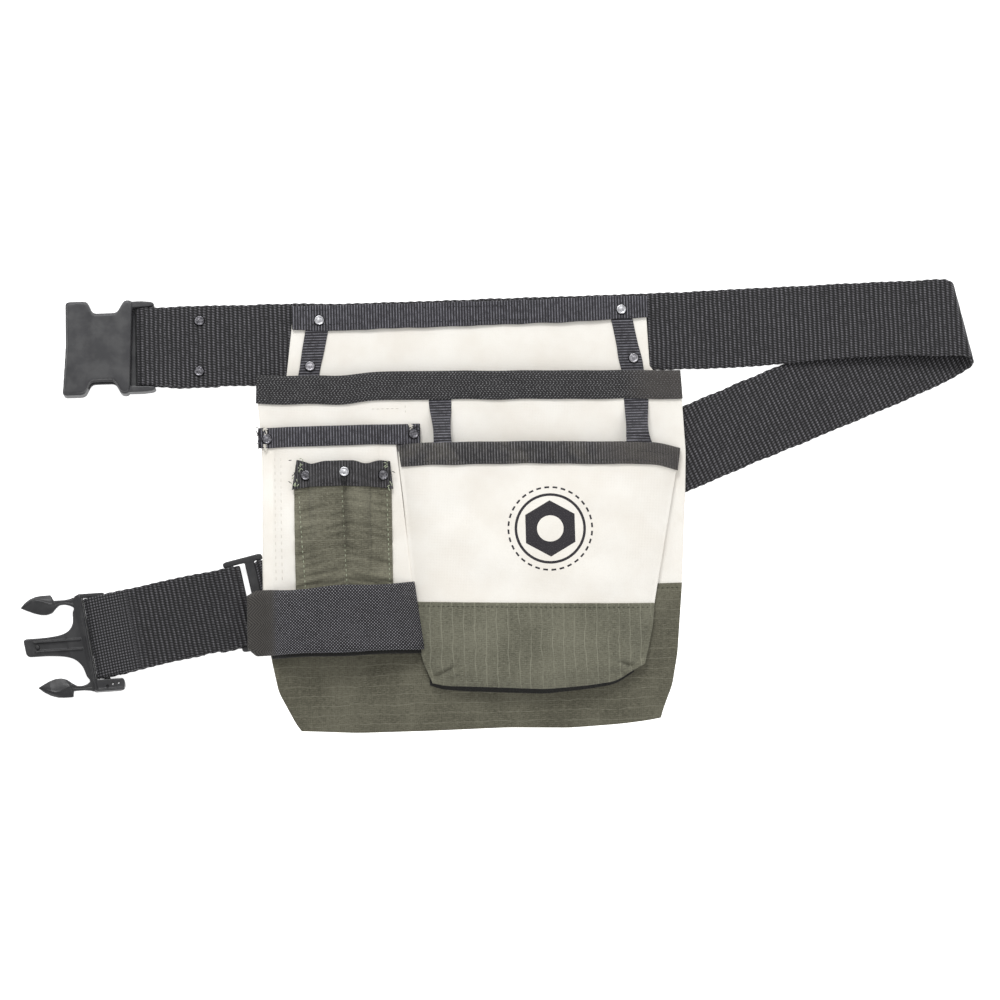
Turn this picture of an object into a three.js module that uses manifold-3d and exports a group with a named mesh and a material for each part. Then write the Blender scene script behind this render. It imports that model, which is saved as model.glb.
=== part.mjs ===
// A tool belt lying on a flat surface: a webbing belt with a side-release buckle, and a riveted
// canvas pouch with a main pocket, a left pocket, a two-channel tool sleeve, a front pocket and
// a hammer loop. Millimetres, +X to the right, +Y up the pouch, +Z away from the surface.

import * as THREE from 'three';
import { mergeVertices } from 'three/addons/utils/BufferGeometryUtils.js';
import Module from 'manifold-3d';

const wasm = await Module();
wasm.setup();

// ---- driving dimensions ----

const webbing = { width: 50, thickness: 1.8 };
const cloth = 1.2;                 // thickness of canvas, ripstop and binding tape
const layerGap = 0.3;              // left between pieces that touch
const layer = cloth + layerGap;    // from the middle of one cloth layer to the next

const halfWebbing = webbing.width / 2;
const onFloor = webbing.thickness / 2;                       // middle of webbing on the floor
const secondLayer = onFloor + webbing.thickness + layerGap;  // middle of webbing lying on webbing

// upper run of the belt, from the female buckle's bar to the right-hand fold
const upperRun = { x: -221.2, y: 100.4, tilt: 2, length: 510 };

// webbing doubled back behind the female buckle's bar, as distances from the bar: where the two
// layers part from the bar, where the hidden flap ends, and the slope down to the floor
const doubled = { fromBar: 27, flapEnd: 46, slopeHead: 48, slopeFoot: 66 };

// right-hand fold: half the angle between the two runs, and how far it reaches back from the line
// that the belt turns back on
const fold = { halfAngle: 11.3, radius: 4.65, reach: 195, lift: 162 };

// adjusting end, from the middle of the slider to the male buckle's bar
const adjuster = { x: -152.5, y: -61.9, tilt: 193.5, bar: 94.8, buckleTurn: -6.5 };

// the pouch's own frame, centred on its body
const pouchPlace = { x: -17.8, y: -2.2, tilt: 1.5 };

const femaleBuckle = {
  rear: -6.5, length: 43, width: 58, height: 12, wall: 2,
  barRadius: 1.9, armEnd: 5, armInside: 25.7,
};
const maleBuckle = {
  barRadius: 1.9, barHeight: 4.05, height: 7.4, width: 62, frontInside: 6.6, front: 13.6,
  armEnd: -10, armInside: 25.8, tongueLength: 38, tongueWidth: 11.4,
};
const prong = { root: 14.2, middle: 25.5, height: 5.6 };
const slider = {
  height: 5.5, halfLength: 12.5, halfWidth: 28.8, railInside: 25.6, railHalf: 1.6, barHalf: 1.2,
  leftBar: [6.5, 11.5], middleBar: [-5.9, -0.9], rightBar: -10, rightRadius: 1.25, loopRadius: 2.5,
};
const strapEnd = { anchorFlap: 26, loopStart: 88, tailSplit: 46, tailEnd: 36 };

const rivet = { head: 3.3, dome: 1.1, shank: 1.4, flange: 2.9, flangeHeight: 0.5, hole: 2.3, gap: 0.45 };

// ---- materials ----

const paint = (color, roughness) => new THREE.MeshStandardMaterial({ color, roughness, metalness: 0 });
const metal = (color) => new THREE.MeshStandardMaterial({ color, roughness: 0.35, metalness: 1 });
const canvasWhite = 0xf6f3ee;
const ripstopGreen = 0x65634f;
const tapeBlack = 0x48474b;
const webbingBlack = 0x444348;
const plasticBlack = 0x3d3c3f;
const rivetNickel = 0xb9b9bd;
const rivetDark = 0x55545a;

// ---- solids ----

const radians = THREE.MathUtils.degToRad;
const mix = THREE.MathUtils.lerp;
const up = new THREE.Vector3(0, 0, 1);

/** Turns a triangle list over where its faces point inwards. */
function faceOutwards(positions, triangles) {
  let volume = 0;
  const a = new THREE.Vector3();
  const b = new THREE.Vector3();
  const c = new THREE.Vector3();
  for (const [i, j, k] of triangles) {
    a.copy(positions[i]);
    b.copy(positions[j]);
    c.copy(positions[k]);
    volume += a.dot(b.cross(c));
  }
  return volume > 0 ? triangles : triangles.map(([i, j, k]) => [i, k, j]);
}

function closedGeometry(positions, triangles) {
  const geometry = new THREE.BufferGeometry().setFromPoints(positions);
  geometry.setIndex(faceOutwards(positions, triangles).flat());
  return geometry;
}

/** Joins rings of points, each in the order of the closed outline that caps the two ends. */
function loft(rings, outline) {
  const positions = rings.flat();
  const triangles = [];
  const count = outline.length;
  for (let s = 0; s + 1 < rings.length; s += 1) {
    for (let i = 0; i < count; i += 1) {
      const next = (i + 1) % count;
      const [p, q] = [s * count + i, s * count + next];
      triangles.push([p, q, q + count], [p, q + count, p + count]);
    }
  }
  const flat = outline.map(([a, b]) => new THREE.Vector2(a, b));
  const last = (rings.length - 1) * count;
  const anticlockwise = THREE.ShapeUtils.area(flat) > 0;
  for (const [i, j, k] of THREE.ShapeUtils.triangulateShape(flat, [])) {
    const cap = anticlockwise ? [i, j, k] : [i, k, j];
    triangles.push([cap[0], cap[2], cap[1]], cap.map((index) => index + last));
  }
  return closedGeometry(positions, triangles);
}

/** Sweeps a closed outline of [across, up] points through stations { at, across, up }. */
function sweep(stations, outline) {
  const rings = stations.map((station) => outline.map(([a, b]) => (
    station.at.clone().addScaledVector(station.across, a).addScaledVector(station.up, b)
  )));
  return loft(rings, outline);
}

/** A sheet whose middle runs through place(u, v), `thick` from face to face. */
function sheet(us, vs, place, thick = cloth) {
  const positions = [];
  const triangles = [];
  const columns = us.length;
  const face = columns * vs.length;
  for (const side of [thick / 2, -thick / 2]) {
    for (const v of vs) {
      for (const u of us) positions.push(place(u, v).add(new THREE.Vector3(0, 0, side)));
    }
  }
  const border = [];
  for (let i = 0; i + 1 < columns; i += 1) border.push(i);
  for (let j = 0; j + 1 < vs.length; j += 1) border.push(columns - 1 + j * columns);
  for (let i = columns - 1; i > 0; i -= 1) border.push(face - columns + i);
  for (let j = vs.length - 1; j > 0; j -= 1) border.push(j * columns);
  for (let j = 0; j + 1 < vs.length; j += 1) {
    for (let i = 0; i + 1 < columns; i += 1) {
      const p = j * columns + i;
      const q = p + columns;
      triangles.push([p, p + 1, q + 1], [p, q + 1, q]);
      triangles.push([p + face, q + 1 + face, p + 1 + face], [p + face, q + face, q + 1 + face]);
    }
  }
  border.forEach((p, index) => {
    const q = border[(index + 1) % border.length];
    triangles.push([p, p + face, q + face], [p, q + face, q]);
  });
  return closedGeometry(positions, triangles);
}

function toSolid(geometry) {
  const bare = geometry.clone();
  bare.deleteAttribute('normal');
  bare.deleteAttribute('uv');
  const merged = mergeVertices(bare, 1e-4);
  return new wasm.Manifold(new wasm.Mesh({
    numProp: 3,
    vertProperties: new Float32Array(merged.attributes.position.array),
    triVerts: new Uint32Array(merged.index.array),
  }));
}

function toGeometry(solid) {
  const mesh = solid.getMesh();
  const geometry = new THREE.BufferGeometry();
  geometry.setAttribute('position', new THREE.BufferAttribute(mesh.vertProperties, 3));
  geometry.setIndex(new THREE.BufferAttribute(mesh.triVerts, 1));
  return geometry;
}

const join = (geometries) => toGeometry(geometries.map(toSolid).reduce((a, b) => a.add(b)));
const cut = (geometry, tool) => toGeometry(toSolid(geometry).subtract(toSolid(tool)));

/** An upright prism over a closed outline of [x, y] points. */
function prism(outline, low, high) {
  const shape = new THREE.Shape(outline.map(([x, y]) => new THREE.Vector2(x, y)));
  const geometry = new THREE.ExtrudeGeometry(shape, { depth: high - low, bevelEnabled: false });
  return geometry.translate(0, 0, low);
}

const box = (x0, x1, y0, y1, z0, z1) => prism([[x0, y0], [x1, y0], [x1, y1], [x0, y1]], z0, z1);

/** A round bar along Y. */
function barAlongY(x, z, radius, halfLength) {
  return new THREE.CylinderGeometry(radius, radius, 2 * halfLength, 12).translate(x, 0, z);
}

function roundPin(x, y, radius, low, high) {
  const pin = new THREE.CylinderGeometry(radius, radius, high - low, 12).rotateX(Math.PI / 2);
  return pin.translate(x, y, (low + high) / 2);
}

const pieces = new Map();

function add(parent, name, geometry, material) {
  const mesh = new THREE.Mesh(geometry, material);
  mesh.name = name;
  parent.add(mesh);
  pieces.set(name, mesh);
  return mesh;
}

function groupAt(place) {
  const group = new THREE.Group();
  group.position.set(place.x, place.y, 0);
  group.rotation.z = radians(place.tilt);
  return group;
}

// ---- webbing ----

const strapSection = (half = halfWebbing) => {
  const thin = webbing.thickness / 2;
  return [[-half, -thin], [half, -thin], [half, thin], [-half, thin]];
};

const straight = { turn: () => 0, side: () => 0 };

/** A strap that runs along X: points are [x, z, turn], turn being the angle of its face. */
function strapAlong(points, path = straight) {
  const stations = points.map(([x, z, turn = 0]) => {
    const angle = path.turn(x);
    const across = new THREE.Vector3(-Math.sin(angle), Math.cos(angle), 0);
    const along = new THREE.Vector3(Math.cos(angle), Math.sin(angle), 0);
    const face = up.clone().multiplyScalar(Math.cos(turn)).addScaledVector(along, -Math.sin(turn));
    return { at: new THREE.Vector3(x, path.side(x), z), across, up: face };
  });
  return sweep(stations, strapSection());
}

/** Points round a bar at [x, z], from the top, by the side `side` (+1 or -1), to the bottom. */
function roundBar(x, z, radius, side, steps = 8) {
  return Array.from({ length: steps + 1 }, (_, i) => {
    const angle = (Math.PI * i) / steps;
    return [x + side * radius * Math.sin(angle), z + radius * Math.cos(angle), -side * angle];
  });
}

const belt = groupAt(upperRun);
const foldTilt = upperRun.tilt + fold.halfAngle;
const foldLine = radians(fold.halfAngle);
const foldQuarter = (Math.PI * fold.radius) / 2;
const upperEnd = upperRun.length - fold.reach * Math.cos(foldLine)
  - (fold.reach - fold.radius + foldQuarter) * Math.tan(foldLine) * Math.sin(foldLine);
const femaleLoop = maleBuckle.barRadius + layerGap + 0.05 + webbing.thickness / 2;
const femaleBarHeight = femaleBuckle.height / 2;

function buildUpperBelt() {
  const points = [
    [upperEnd - layerGap, onFloor], [doubled.slopeFoot, onFloor],
    [doubled.slopeHead, secondLayer], [doubled.fromBar, secondLayer],
    ...roundBar(0, femaleBarHeight, femaleLoop, -1),
    [doubled.fromBar, onFloor, -Math.PI], [doubled.flapEnd, onFloor, -Math.PI],
  ];
  const path = { turn: (x) => (x > doubled.slopeFoot ? foldLine : 0), side: () => 0 };
  add(belt, 'belt_upper', strapAlong(points, path), paint(webbingBlack, 0.85));
}

const wayTo = (degrees) => new THREE.Vector3(Math.cos(radians(degrees)), Math.sin(radians(degrees)), 0);
const foldOut = wayTo(foldTilt);
const foldAlong = wayTo(foldTilt + 90);
const foldApex = new THREE.Vector3(upperRun.x, upperRun.y, 0)
  .addScaledVector(wayTo(upperRun.tilt), upperRun.length);
const slantedHalf = halfWebbing / Math.cos(foldLine);

/** A point of the belt's middle line, `back` from the fold and `travel` along the webbing past it. */
const foldPoint = (back, travel) => foldApex.clone()
  .addScaledVector(foldOut, -back).addScaledVector(foldAlong, -Math.tan(foldLine) * travel);

/** The exposed right-hand run, its fold and the start of the lower run, ruled along the fold. */
function buildRightBelt() {
  const station = (back, height, travel, turn) => ({
    at: foldPoint(back, travel).setZ(height),
    across: foldAlong,
    up: up.clone().multiplyScalar(Math.cos(turn)).addScaledVector(foldOut, Math.sin(turn)),
  });
  const top = onFloor + 2 * fold.radius;
  const upperStation = (back, height) => station(back, height, fold.radius - back - foldQuarter, 0);
  const stations = [upperStation(fold.reach, onFloor)];
  const upperSteps = 5;
  for (let i = 0; i < upperSteps; i += 1) {
    const share = i / upperSteps;
    stations.push(upperStation(mix(fold.lift, fold.radius, share), mix(onFloor, top, share)));
  }
  const arcSteps = 8;
  for (let i = 0; i <= arcSteps; i += 1) {
    const angle = (Math.PI * i) / arcSteps;
    const back = fold.radius * (1 - Math.sin(angle));
    const height = onFloor + fold.radius * (1 + Math.cos(angle));
    stations.push(station(back, height, fold.radius * angle - foldQuarter, angle));
  }
  stations.push(station(fold.reach, onFloor, fold.reach - fold.radius + foldQuarter, Math.PI));
  add(whole, 'belt_right', sweep(stations, strapSection(slantedHalf)), paint(webbingBlack, 0.85));
}

/** The lower run behind the pouch, with its end looped round the slider's right-hand bar. */
function buildLowerBelt() {
  const toSlider = wayTo(adjuster.tilt);
  const toPouch = wayTo(180 + foldTilt + fold.halfAngle);
  const bar = new THREE.Vector3(adjuster.x, adjuster.y, 0).addScaledVector(toSlider, slider.rightBar);
  const start = foldPoint(fold.reach + layerGap, fold.reach + layerGap - fold.radius + foldQuarter);
  const span = start.distanceTo(bar);
  const plan = new THREE.CubicBezierCurve3(
    start,
    start.clone().addScaledVector(toPouch, span / 3),
    bar.clone().addScaledVector(toSlider, -span / 3),
    bar,
  );
  const station = (fromBar, height, turn) => {
    const at = plan.getPoint(1 - fromBar / span);
    const along = plan.getTangent(1 - fromBar / span);
    at.z = height;
    return {
      at,
      across: new THREE.Vector3(-along.y, along.x, 0),
      up: up.clone().multiplyScalar(Math.cos(turn)).addScaledVector(along, Math.sin(turn)),
    };
  };
  const overFlap = secondLayer + webbing.thickness + layerGap;
  const slanted = {
    at: start.clone().setZ(onFloor),
    across: foldAlong.clone().multiplyScalar(-slantedHalf / halfWebbing),
    up,
  };
  const climb = [
    [span * 0.7, onFloor], [60, onFloor], [34, secondLayer], [30, secondLayer],
    [20, overFlap], [14, overFlap],
  ];
  const stations = [slanted, ...climb.map(([fromBar, height]) => station(fromBar, height, 0))];
  const steps = 8;
  for (let i = 0; i <= steps; i += 1) {
    const angle = (Math.PI * i) / steps;
    const turned = station(0, slider.height + slider.loopRadius * Math.cos(angle), angle);
    turned.at.addScaledVector(toSlider, slider.loopRadius * Math.sin(angle));
    stations.push(turned);
  }
  stations.push(station(8, secondLayer, Math.PI), station(19, secondLayer, Math.PI));
  add(whole, 'belt_lower', sweep(stations, strapSection()), paint(webbingBlack, 0.85));
}

// ---- adjusting end ----

const strapPlace = groupAt(adjuster);
const buckleSwing = radians(adjuster.buckleTurn);

function buildAdjuster() {
  const overFlap = secondLayer + webbing.thickness + layerGap;
  const black = () => paint(webbingBlack, 0.85);
  const anchorBar = slider.leftBar[0] + slider.barHalf / 2;
  const flap = strapEnd.anchorFlap;
  add(strapPlace, 'adjuster_anchor', strapAlong([
    [flap, overFlap], [slider.leftBar[1], slider.height + slider.loopRadius],
    ...roundBar(anchorBar, slider.height, slider.loopRadius, -1),
    [slider.leftBar[1], secondLayer, -Math.PI], [flap, secondLayer, -Math.PI],
  ]), black());

  const loopRadius = maleBuckle.barRadius + layerGap + 0.05 + webbing.thickness / 2;
  const loopTop = maleBuckle.barHeight + loopRadius;
  const bend = adjuster.bar - strapEnd.tailSplit;
  const bent = (x) => Math.max(0, x - strapEnd.tailSplit) / bend;
  const swing = {
    turn: (x) => buckleSwing * THREE.MathUtils.smoothstep(bent(x), 0, 0.85),
    side: (x) => Math.tan(buckleSwing) * bend * bent(x) ** 2 * (bent(x) - 1),
  };
  add(strapPlace, 'adjuster_run', strapAlong([
    [flap + layerGap, overFlap], [38, 4.3], [48, 4], [60, 4], [70, 4.8], [78, 6.2],
    [strapEnd.loopStart - layerGap, loopTop],
  ], swing), black());

  const turned = new THREE.Group();
  turned.position.x = adjuster.bar;
  turned.rotation.z = buckleSwing;
  strapPlace.add(turned);
  const start = strapEnd.loopStart - adjuster.bar;
  add(turned, 'buckle_loop', strapAlong([
    [start, loopTop], ...roundBar(0, maleBuckle.barHeight, loopRadius, 1), [start, onFloor, -Math.PI],
  ]), black());

  add(strapPlace, 'tail_run', strapAlong([
    [strapEnd.loopStart - layerGap, onFloor], [78, onFloor], [68, onFloor], [57, onFloor],
    [strapEnd.tailSplit, onFloor],
  ], swing), black());
  add(strapPlace, 'tail_end', strapAlong([
    [strapEnd.tailSplit - layerGap, onFloor], [strapEnd.tailEnd, onFloor],
  ]), black());
  buildMaleBuckle(turned);
}

function buildSlider() {
  const { height, halfLength, halfWidth, railInside, railHalf, barHalf } = slider;
  const low = height - railHalf;
  const high = height + railHalf;
  const corner = 2.5;
  const rail = (side) => prism([
    [-halfLength, side * railInside], [halfLength, side * railInside],
    [halfLength, side * (halfWidth - corner)], [halfLength - corner, side * halfWidth],
    [-halfLength + corner, side * halfWidth], [-halfLength, side * (halfWidth - corner)],
  ], low, high);
  const reach = railInside + 1;
  const flatBar = ([x0, x1]) => box(x0, x1, -reach, reach, height - barHalf, height + barHalf);
  add(strapPlace, 'slider', join([
    rail(1), rail(-1), flatBar(slider.leftBar), flatBar(slider.middleBar),
    barAlongY(slider.rightBar, height, slider.rightRadius, reach),
  ]), paint(plasticBlack, 0.5));
}

function buildMaleBuckle(place) {
  const m = maleBuckle;
  const half = m.width / 2;
  const low = m.barHeight - m.height / 2;
  const high = m.barHeight + m.height / 2;
  const corner = 2.5;
  const arm = (side) => prism([
    [m.armEnd, side * m.armInside], [m.frontInside + 1, side * m.armInside],
    [m.frontInside + 1, side * half], [m.armEnd + corner, side * half],
    [m.armEnd, side * (half - corner)],
  ], low, high);
  const crossPiece = prism([
    [m.frontInside, -half], [m.front - corner, -half], [m.front, -half + corner],
    [m.front, half - corner], [m.front - corner, half], [m.frontInside, half],
  ], low, high);
  const tip = m.front + m.tongueLength;
  const halfTongue = m.tongueWidth / 2;
  const tongueOutline = [
    [m.front - 1, -13], [m.front + 2, -9], [m.front + 7, -halfTongue - 0.6],
    [m.front + 14, -halfTongue], [tip - 2, -halfTongue], [tip, -halfTongue + 2],
  ];
  const mirrored = tongueOutline.map(([x, y]) => [x, -y]).reverse();
  const tongue = prism([...tongueOutline, ...mirrored], m.barHeight - 2.2, m.barHeight + 2.2);
  add(place, 'male_buckle', join([
    arm(1), arm(-1), crossPiece, tongue,
    barAlongY(0, m.barHeight, m.barRadius, m.armInside + 1),
  ]), paint(plasticBlack, 0.5));

  const lowProng = m.barHeight - prong.height / 2;
  const prongOutline = [
    [prong.root, -1.6], [21, -1.6], [24, -2], [28, -5], [34, -5.2], [41, -3.6], [47.5, 0],
    [41, 3.8], [33, 5.6], [26, 5.4], [26, 2], [21, 1.6], [prong.root, 1.6],
  ];
  const places = { prong_lower: 1, prong_upper: -1 };
  for (const [name, side] of Object.entries(places)) {
    const outline = prongOutline.map(([x, y]) => [x, side * (prong.middle + y)]);
    add(place, name, prism(outline, lowProng, lowProng + prong.height), paint(plasticBlack, 0.5));
  }
}

function buildFemaleBuckle() {
  const f = femaleBuckle;
  const mouth = f.rear - f.length;
  const half = f.width / 2;
  const corner = 4;
  const window = [[-13.2, half], [-18.2, half - 7], [-31.3, half - 7], [-36.3, half]];
  const upperEdge = [
    [f.rear, half - corner], [f.rear - corner, half], ...window,
    [mouth + corner, half], [mouth, half - corner],
  ];
  const lowerEdge = upperEdge.map(([x, y]) => [x, -y]).reverse();
  const body = prism([...upperEdge, ...lowerEdge], 0, f.height);
  const cavity = box(mouth - 1, f.rear - 4.5, -25.5, 25.5, f.wall, f.height - f.wall);
  const arm = (side) => prism([
    [f.rear - 2, side * f.armInside], [f.armEnd, side * f.armInside],
    [f.armEnd, side * (half - 1)], [f.rear - 2, side * (half - 1)],
  ], f.wall, f.height - f.wall);
  const shell = cut(body, cavity);
  add(belt, 'female_buckle', join([
    shell, arm(1), arm(-1), barAlongY(0, femaleBarHeight, f.barRadius, f.armInside + 1),
  ]), paint(plasticBlack, 0.5));
}

// ---- pouch ----

const pouch = groupAt(pouchPlace);

/** The value at y on a line through [value, y] points listed from low y to high. */
function along(points, y) {
  let index = 1;
  while (index + 1 < points.length && y > points[index][1]) index += 1;
  const [[x0, y0], [x1, y1]] = [points[index - 1], points[index]];
  return mix(x0, x1, (y - y0) / (y1 - y0));
}

const bodyTop = 88;
const bodyBottom = -137;
const bodyLeft = [[-107, -137], [-121, -109], [-126, -89], [-129, -47], [-129, 41], [-131, 88]];
const bodyRight = [[112, -137], [125, -105], [129.5, -80], [133, -54], [136, 34], [134, 88]];
const tabLeft = [[-112, 88], [-107.5, 133]];
const tabRight = [[115.5, 88], [114, 133]];
const frontLeft = [[-22, -112], [-30, -88], [-33.5, -70], [-34.5, -56], [-42, 44]];
const frontRight = [[97, -112], [104, -95], [111.5, -72], [113, -60], [132, 40]];

const crown = (share, power) => 1 - Math.abs(2 * share - 1) ** power;
const rise = (share, power) => 1 - (1 - THREE.MathUtils.clamp(share, 0, 1)) ** power;

/** How far x lies from one edge line to the other, each moved in by the margin. */
const shareOf = (left, right, x, y, margin) => {
  const [a, b] = [along(left, y) + margin, along(right, y) - margin];
  return THREE.MathUtils.clamp((x - a) / (b - a), 0, 1);
};

/** Height of the back panel's middle: flat, but raised over the slider at the lower left. */
function backHeight(x, y) {
  const acrossSlider = THREE.MathUtils.smoothstep(-x, 62, 128);
  const upSlider = THREE.MathUtils.smoothstep(40 - y, 0, 62);
  const droop = mix(1, 0.55, THREE.MathUtils.smoothstep(-y, 85, 137));
  return 2.9 + 7.4 * acrossSlider * upSlider * droop;
}

/** Height of the main pocket's front, which lies flat in a margin along its side seams. */
function mainHeight(x, y) {
  const share = shareOf(bodyLeft, bodyRight, x, y, 9);
  const up01 = (y - bodyBottom) / (bodyTop - bodyBottom);
  return backHeight(x, y) + 2 * layer + 0.1 + 8 * crown(share, 10) * rise(up01, 5);
}

const leftPocket = { top: 55.5, bottom: -46, tapeWidth: 10.8, tapeLeft: -130, tapeRight: -30 };
const leftPocketLeft = [[-128, -46], [-128, 57]];
const leftPocketRight = [[-47, -46], [-47, 57]];

/** Height of the left pocket's front. */
function leftHeight(x, y) {
  const share = shareOf(leftPocketLeft, leftPocketRight, x, y, 8);
  const up01 = (y - leftPocket.bottom) / (leftPocket.top - leftPocket.bottom);
  return mainHeight(x, y) + 2 * layer + 0.1 + 5.5 * crown(share, 4) * rise(up01, 4);
}

const sleeve = {
  left: -108, right: -48.5, top: 33, bottom: -40, tapeLow: 15, hump: 8,
  channels: [[-97.5, -80.8], [-73.2, -56.3]],
};

/** Height of the tool sleeve: two channels side by side, sewn down between and beside them. */
function sleeveHeight(x, y) {
  const channel = sleeve.channels.find(([a, b]) => x > a && x < b);
  const share = channel ? (x - channel[0]) / (channel[1] - channel[0]) : 0;
  const up01 = (y - sleeve.bottom) / (sleeve.top - sleeve.bottom);
  const hump = sleeve.hump * Math.sin(Math.PI * share) ** 0.7 * rise(up01, 4);
  return leftHeight(x, y) + layer + 0.2 + hump;
}

/** The front pocket's upper edge dips at its two corners. */
const frontTop = (x) => along([[43.7, -43], [45.8, -20], [44.5, 112], [38, 133]], x);

const frontBottom = -112;

/** Height of the front pocket. */
function frontHeight(x, y) {
  const share = shareOf(frontLeft, frontRight, x, y, 3);
  const up01 = (y - frontBottom) / (44 - frontBottom);
  return mainHeight(x, y) + 2 * layer + 0.1 + 12 * crown(share, 4) * rise(up01, 4);
}

const even = (count) => Array.from({ length: count + 1 }, (_, i) => i / count);
const edgeFine = [0, 0.03, 0.08, 0.16, 0.3, 0.5, 0.7, 0.84, 0.92, 0.97, 1];

/** A line up a panel: x as a function of y, a share of the way between two edge lines. */
const lineBetween = (left, right, share) => (y) => mix(along(left, y), along(right, y), share);
const linesBetween = (left, right) => edgeFine.map((share) => lineBetween(left, right, share));

/** Where a line up a panel meets the panel's upper edge, y = top(x). */
const edgeOn = (line, top) => top(line(top(0)));

/** A panel between two edge lines, from y = low to its upper edge y = top(x). */
function panel(left, right, low, top, height, us, vs) {
  return sheet(us, vs, (u, v) => {
    const line = lineBetween(left, right, u);
    const y = mix(low, edgeOn(line, top), v);
    return new THREE.Vector3(line(y), y, height(line(y), y));
  });
}

/** A tape folded over a panel's upper edge y = top(x): its front, fold and back in one. */
function binding(lines, top, width, height) {
  const out = layer + cloth / 2;
  const inner = cloth / 2 + layerGap;
  const backWidth = width - 3;
  const outline = [
    [-width, inner], [-width, out], [-width / 2, out], [0, out], [0, -out], [-backWidth, -out],
    [-backWidth, -inner], [-cloth, -inner], [-cloth, inner], [-width / 2, inner],
  ];
  const rings = lines.map((line) => outline.map(([depth, offset]) => {
    const y = edgeOn(line, top) + depth;
    const x = line(y);
    return new THREE.Vector3(x, y, height(x, Math.min(y, top(x) - cloth)) + offset);
  }));
  return loft(rings, outline);
}

const canvas = () => paint(canvasWhite, 0.9);
const ripstop = () => paint(ripstopGreen, 0.9);
const tape = () => paint(tapeBlack, 0.85);

const mainPocket = { seam: -46, tapeWidth: 17.5 };
const mainTop = (x) => mix(88.4, 86.6, (x - bodyLeft.at(-1)[0]) / 265);
const tabBottom = 86;
const tabTop = 133;
const tabHeight = backHeight(0, bodyTop);

function buildPouchBody() {
  const backUs = [0, 0.05, 0.12, 0.2, 0.3, 0.42, 0.6, 0.8, 1];
  const body = panel(bodyLeft, bodyRight, bodyBottom, () => bodyTop, backHeight, backUs, even(9));
  const tab = panel(tabLeft, tabRight, tabBottom, () => tabTop, () => tabHeight, even(1), even(1));
  add(pouch, 'back_panel', join([body, tab]), canvas());

  const { seam, tapeWidth } = mainPocket;
  const upperRows = [0, 0.15, 0.3, 0.5, 0.7, 0.85, 1];
  const lowerRows = [0, 0.06, 0.14, 0.25, 0.45, 0.7, 1];
  const front = (low, top, rows) => panel(bodyLeft, bodyRight, low, top, mainHeight, edgeFine, rows);
  add(pouch, 'main_pocket_panel',
    front(seam + layerGap / 2, (x) => mainTop(x) - 2 * layer, upperRows), canvas());
  add(pouch, 'main_pocket_base',
    front(bodyBottom, () => seam - layerGap / 2, lowerRows), ripstop());
  const lines = linesBetween(bodyLeft, bodyRight);
  add(pouch, 'main_pocket_tape', binding(lines, mainTop, tapeWidth, mainHeight), tape());

  const onTab = {
    top_tape: [[-108.5, 117.2], [115, 117.6], [115, 134.4], [-108.5, 133.2]],
    side_tape_left: [[-106.4, 89], [-93, 89], [-85.6, 116.8], [-100.6, 116.8]],
    side_tape_right: [[97.4, 89], [111.6, 89], [106.6, 117.2], [91.6, 117.2]],
  };
  const low = tabHeight + layer - cloth / 2;
  for (const [name, corners] of Object.entries(onTab)) {
    add(pouch, name, prism(corners, low, low + cloth), tape());
  }
}

function buildLeftPocket() {
  const { top, bottom, tapeWidth, tapeLeft, tapeRight } = leftPocket;
  const rows = [0, 0.12, 0.3, 0.5, 0.7, 0.83, 0.92, 1];
  const edges = [leftPocketLeft, leftPocketRight];
  add(pouch, 'left_pocket_panel',
    panel(...edges, bottom, () => top - layer, leftHeight, edgeFine, rows), canvas());
  const lines = [() => tapeLeft, ...linesBetween(...edges), () => tapeRight];
  add(pouch, 'left_pocket_tape', binding(lines, () => top + cloth / 2, tapeWidth, leftHeight), tape());

  const across = [0, 0.12, 0.3, 0.5, 0.7, 0.88, 1];
  const humps = sleeve.channels.flatMap(([a, b]) => across.map((share) => mix(a, b, share)));
  const flats = { left: -102, right: -52 };
  const sleeveXs = [sleeve.left, flats.left, ...humps, flats.right, sleeve.right];
  const sleeveSheet = (low, high, offset, rows) => sheet(sleeveXs, rows, (x, v) => {
    const y = mix(low, high, v);
    return new THREE.Vector3(x, y, sleeveHeight(x, y) + offset);
  });
  add(pouch, 'tool_sleeve', sleeveSheet(sleeve.bottom, sleeve.top, 0, even(5)), ripstop());
  add(pouch, 'tool_sleeve_tape', sleeveSheet(sleeve.tapeLow, sleeve.top, layer, even(2)), tape());
}

// the loop's ends are at `right`, sewn down, and at `left`, folded under to `underEnd`
const hammerLoop = {
  right: -39, left: -139.3, underEnd: -130.5, halfWidth: 20.5, thick: 1.6, foldRadius: 1.3,
  stand: 11, lastStand: -128,
};

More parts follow.
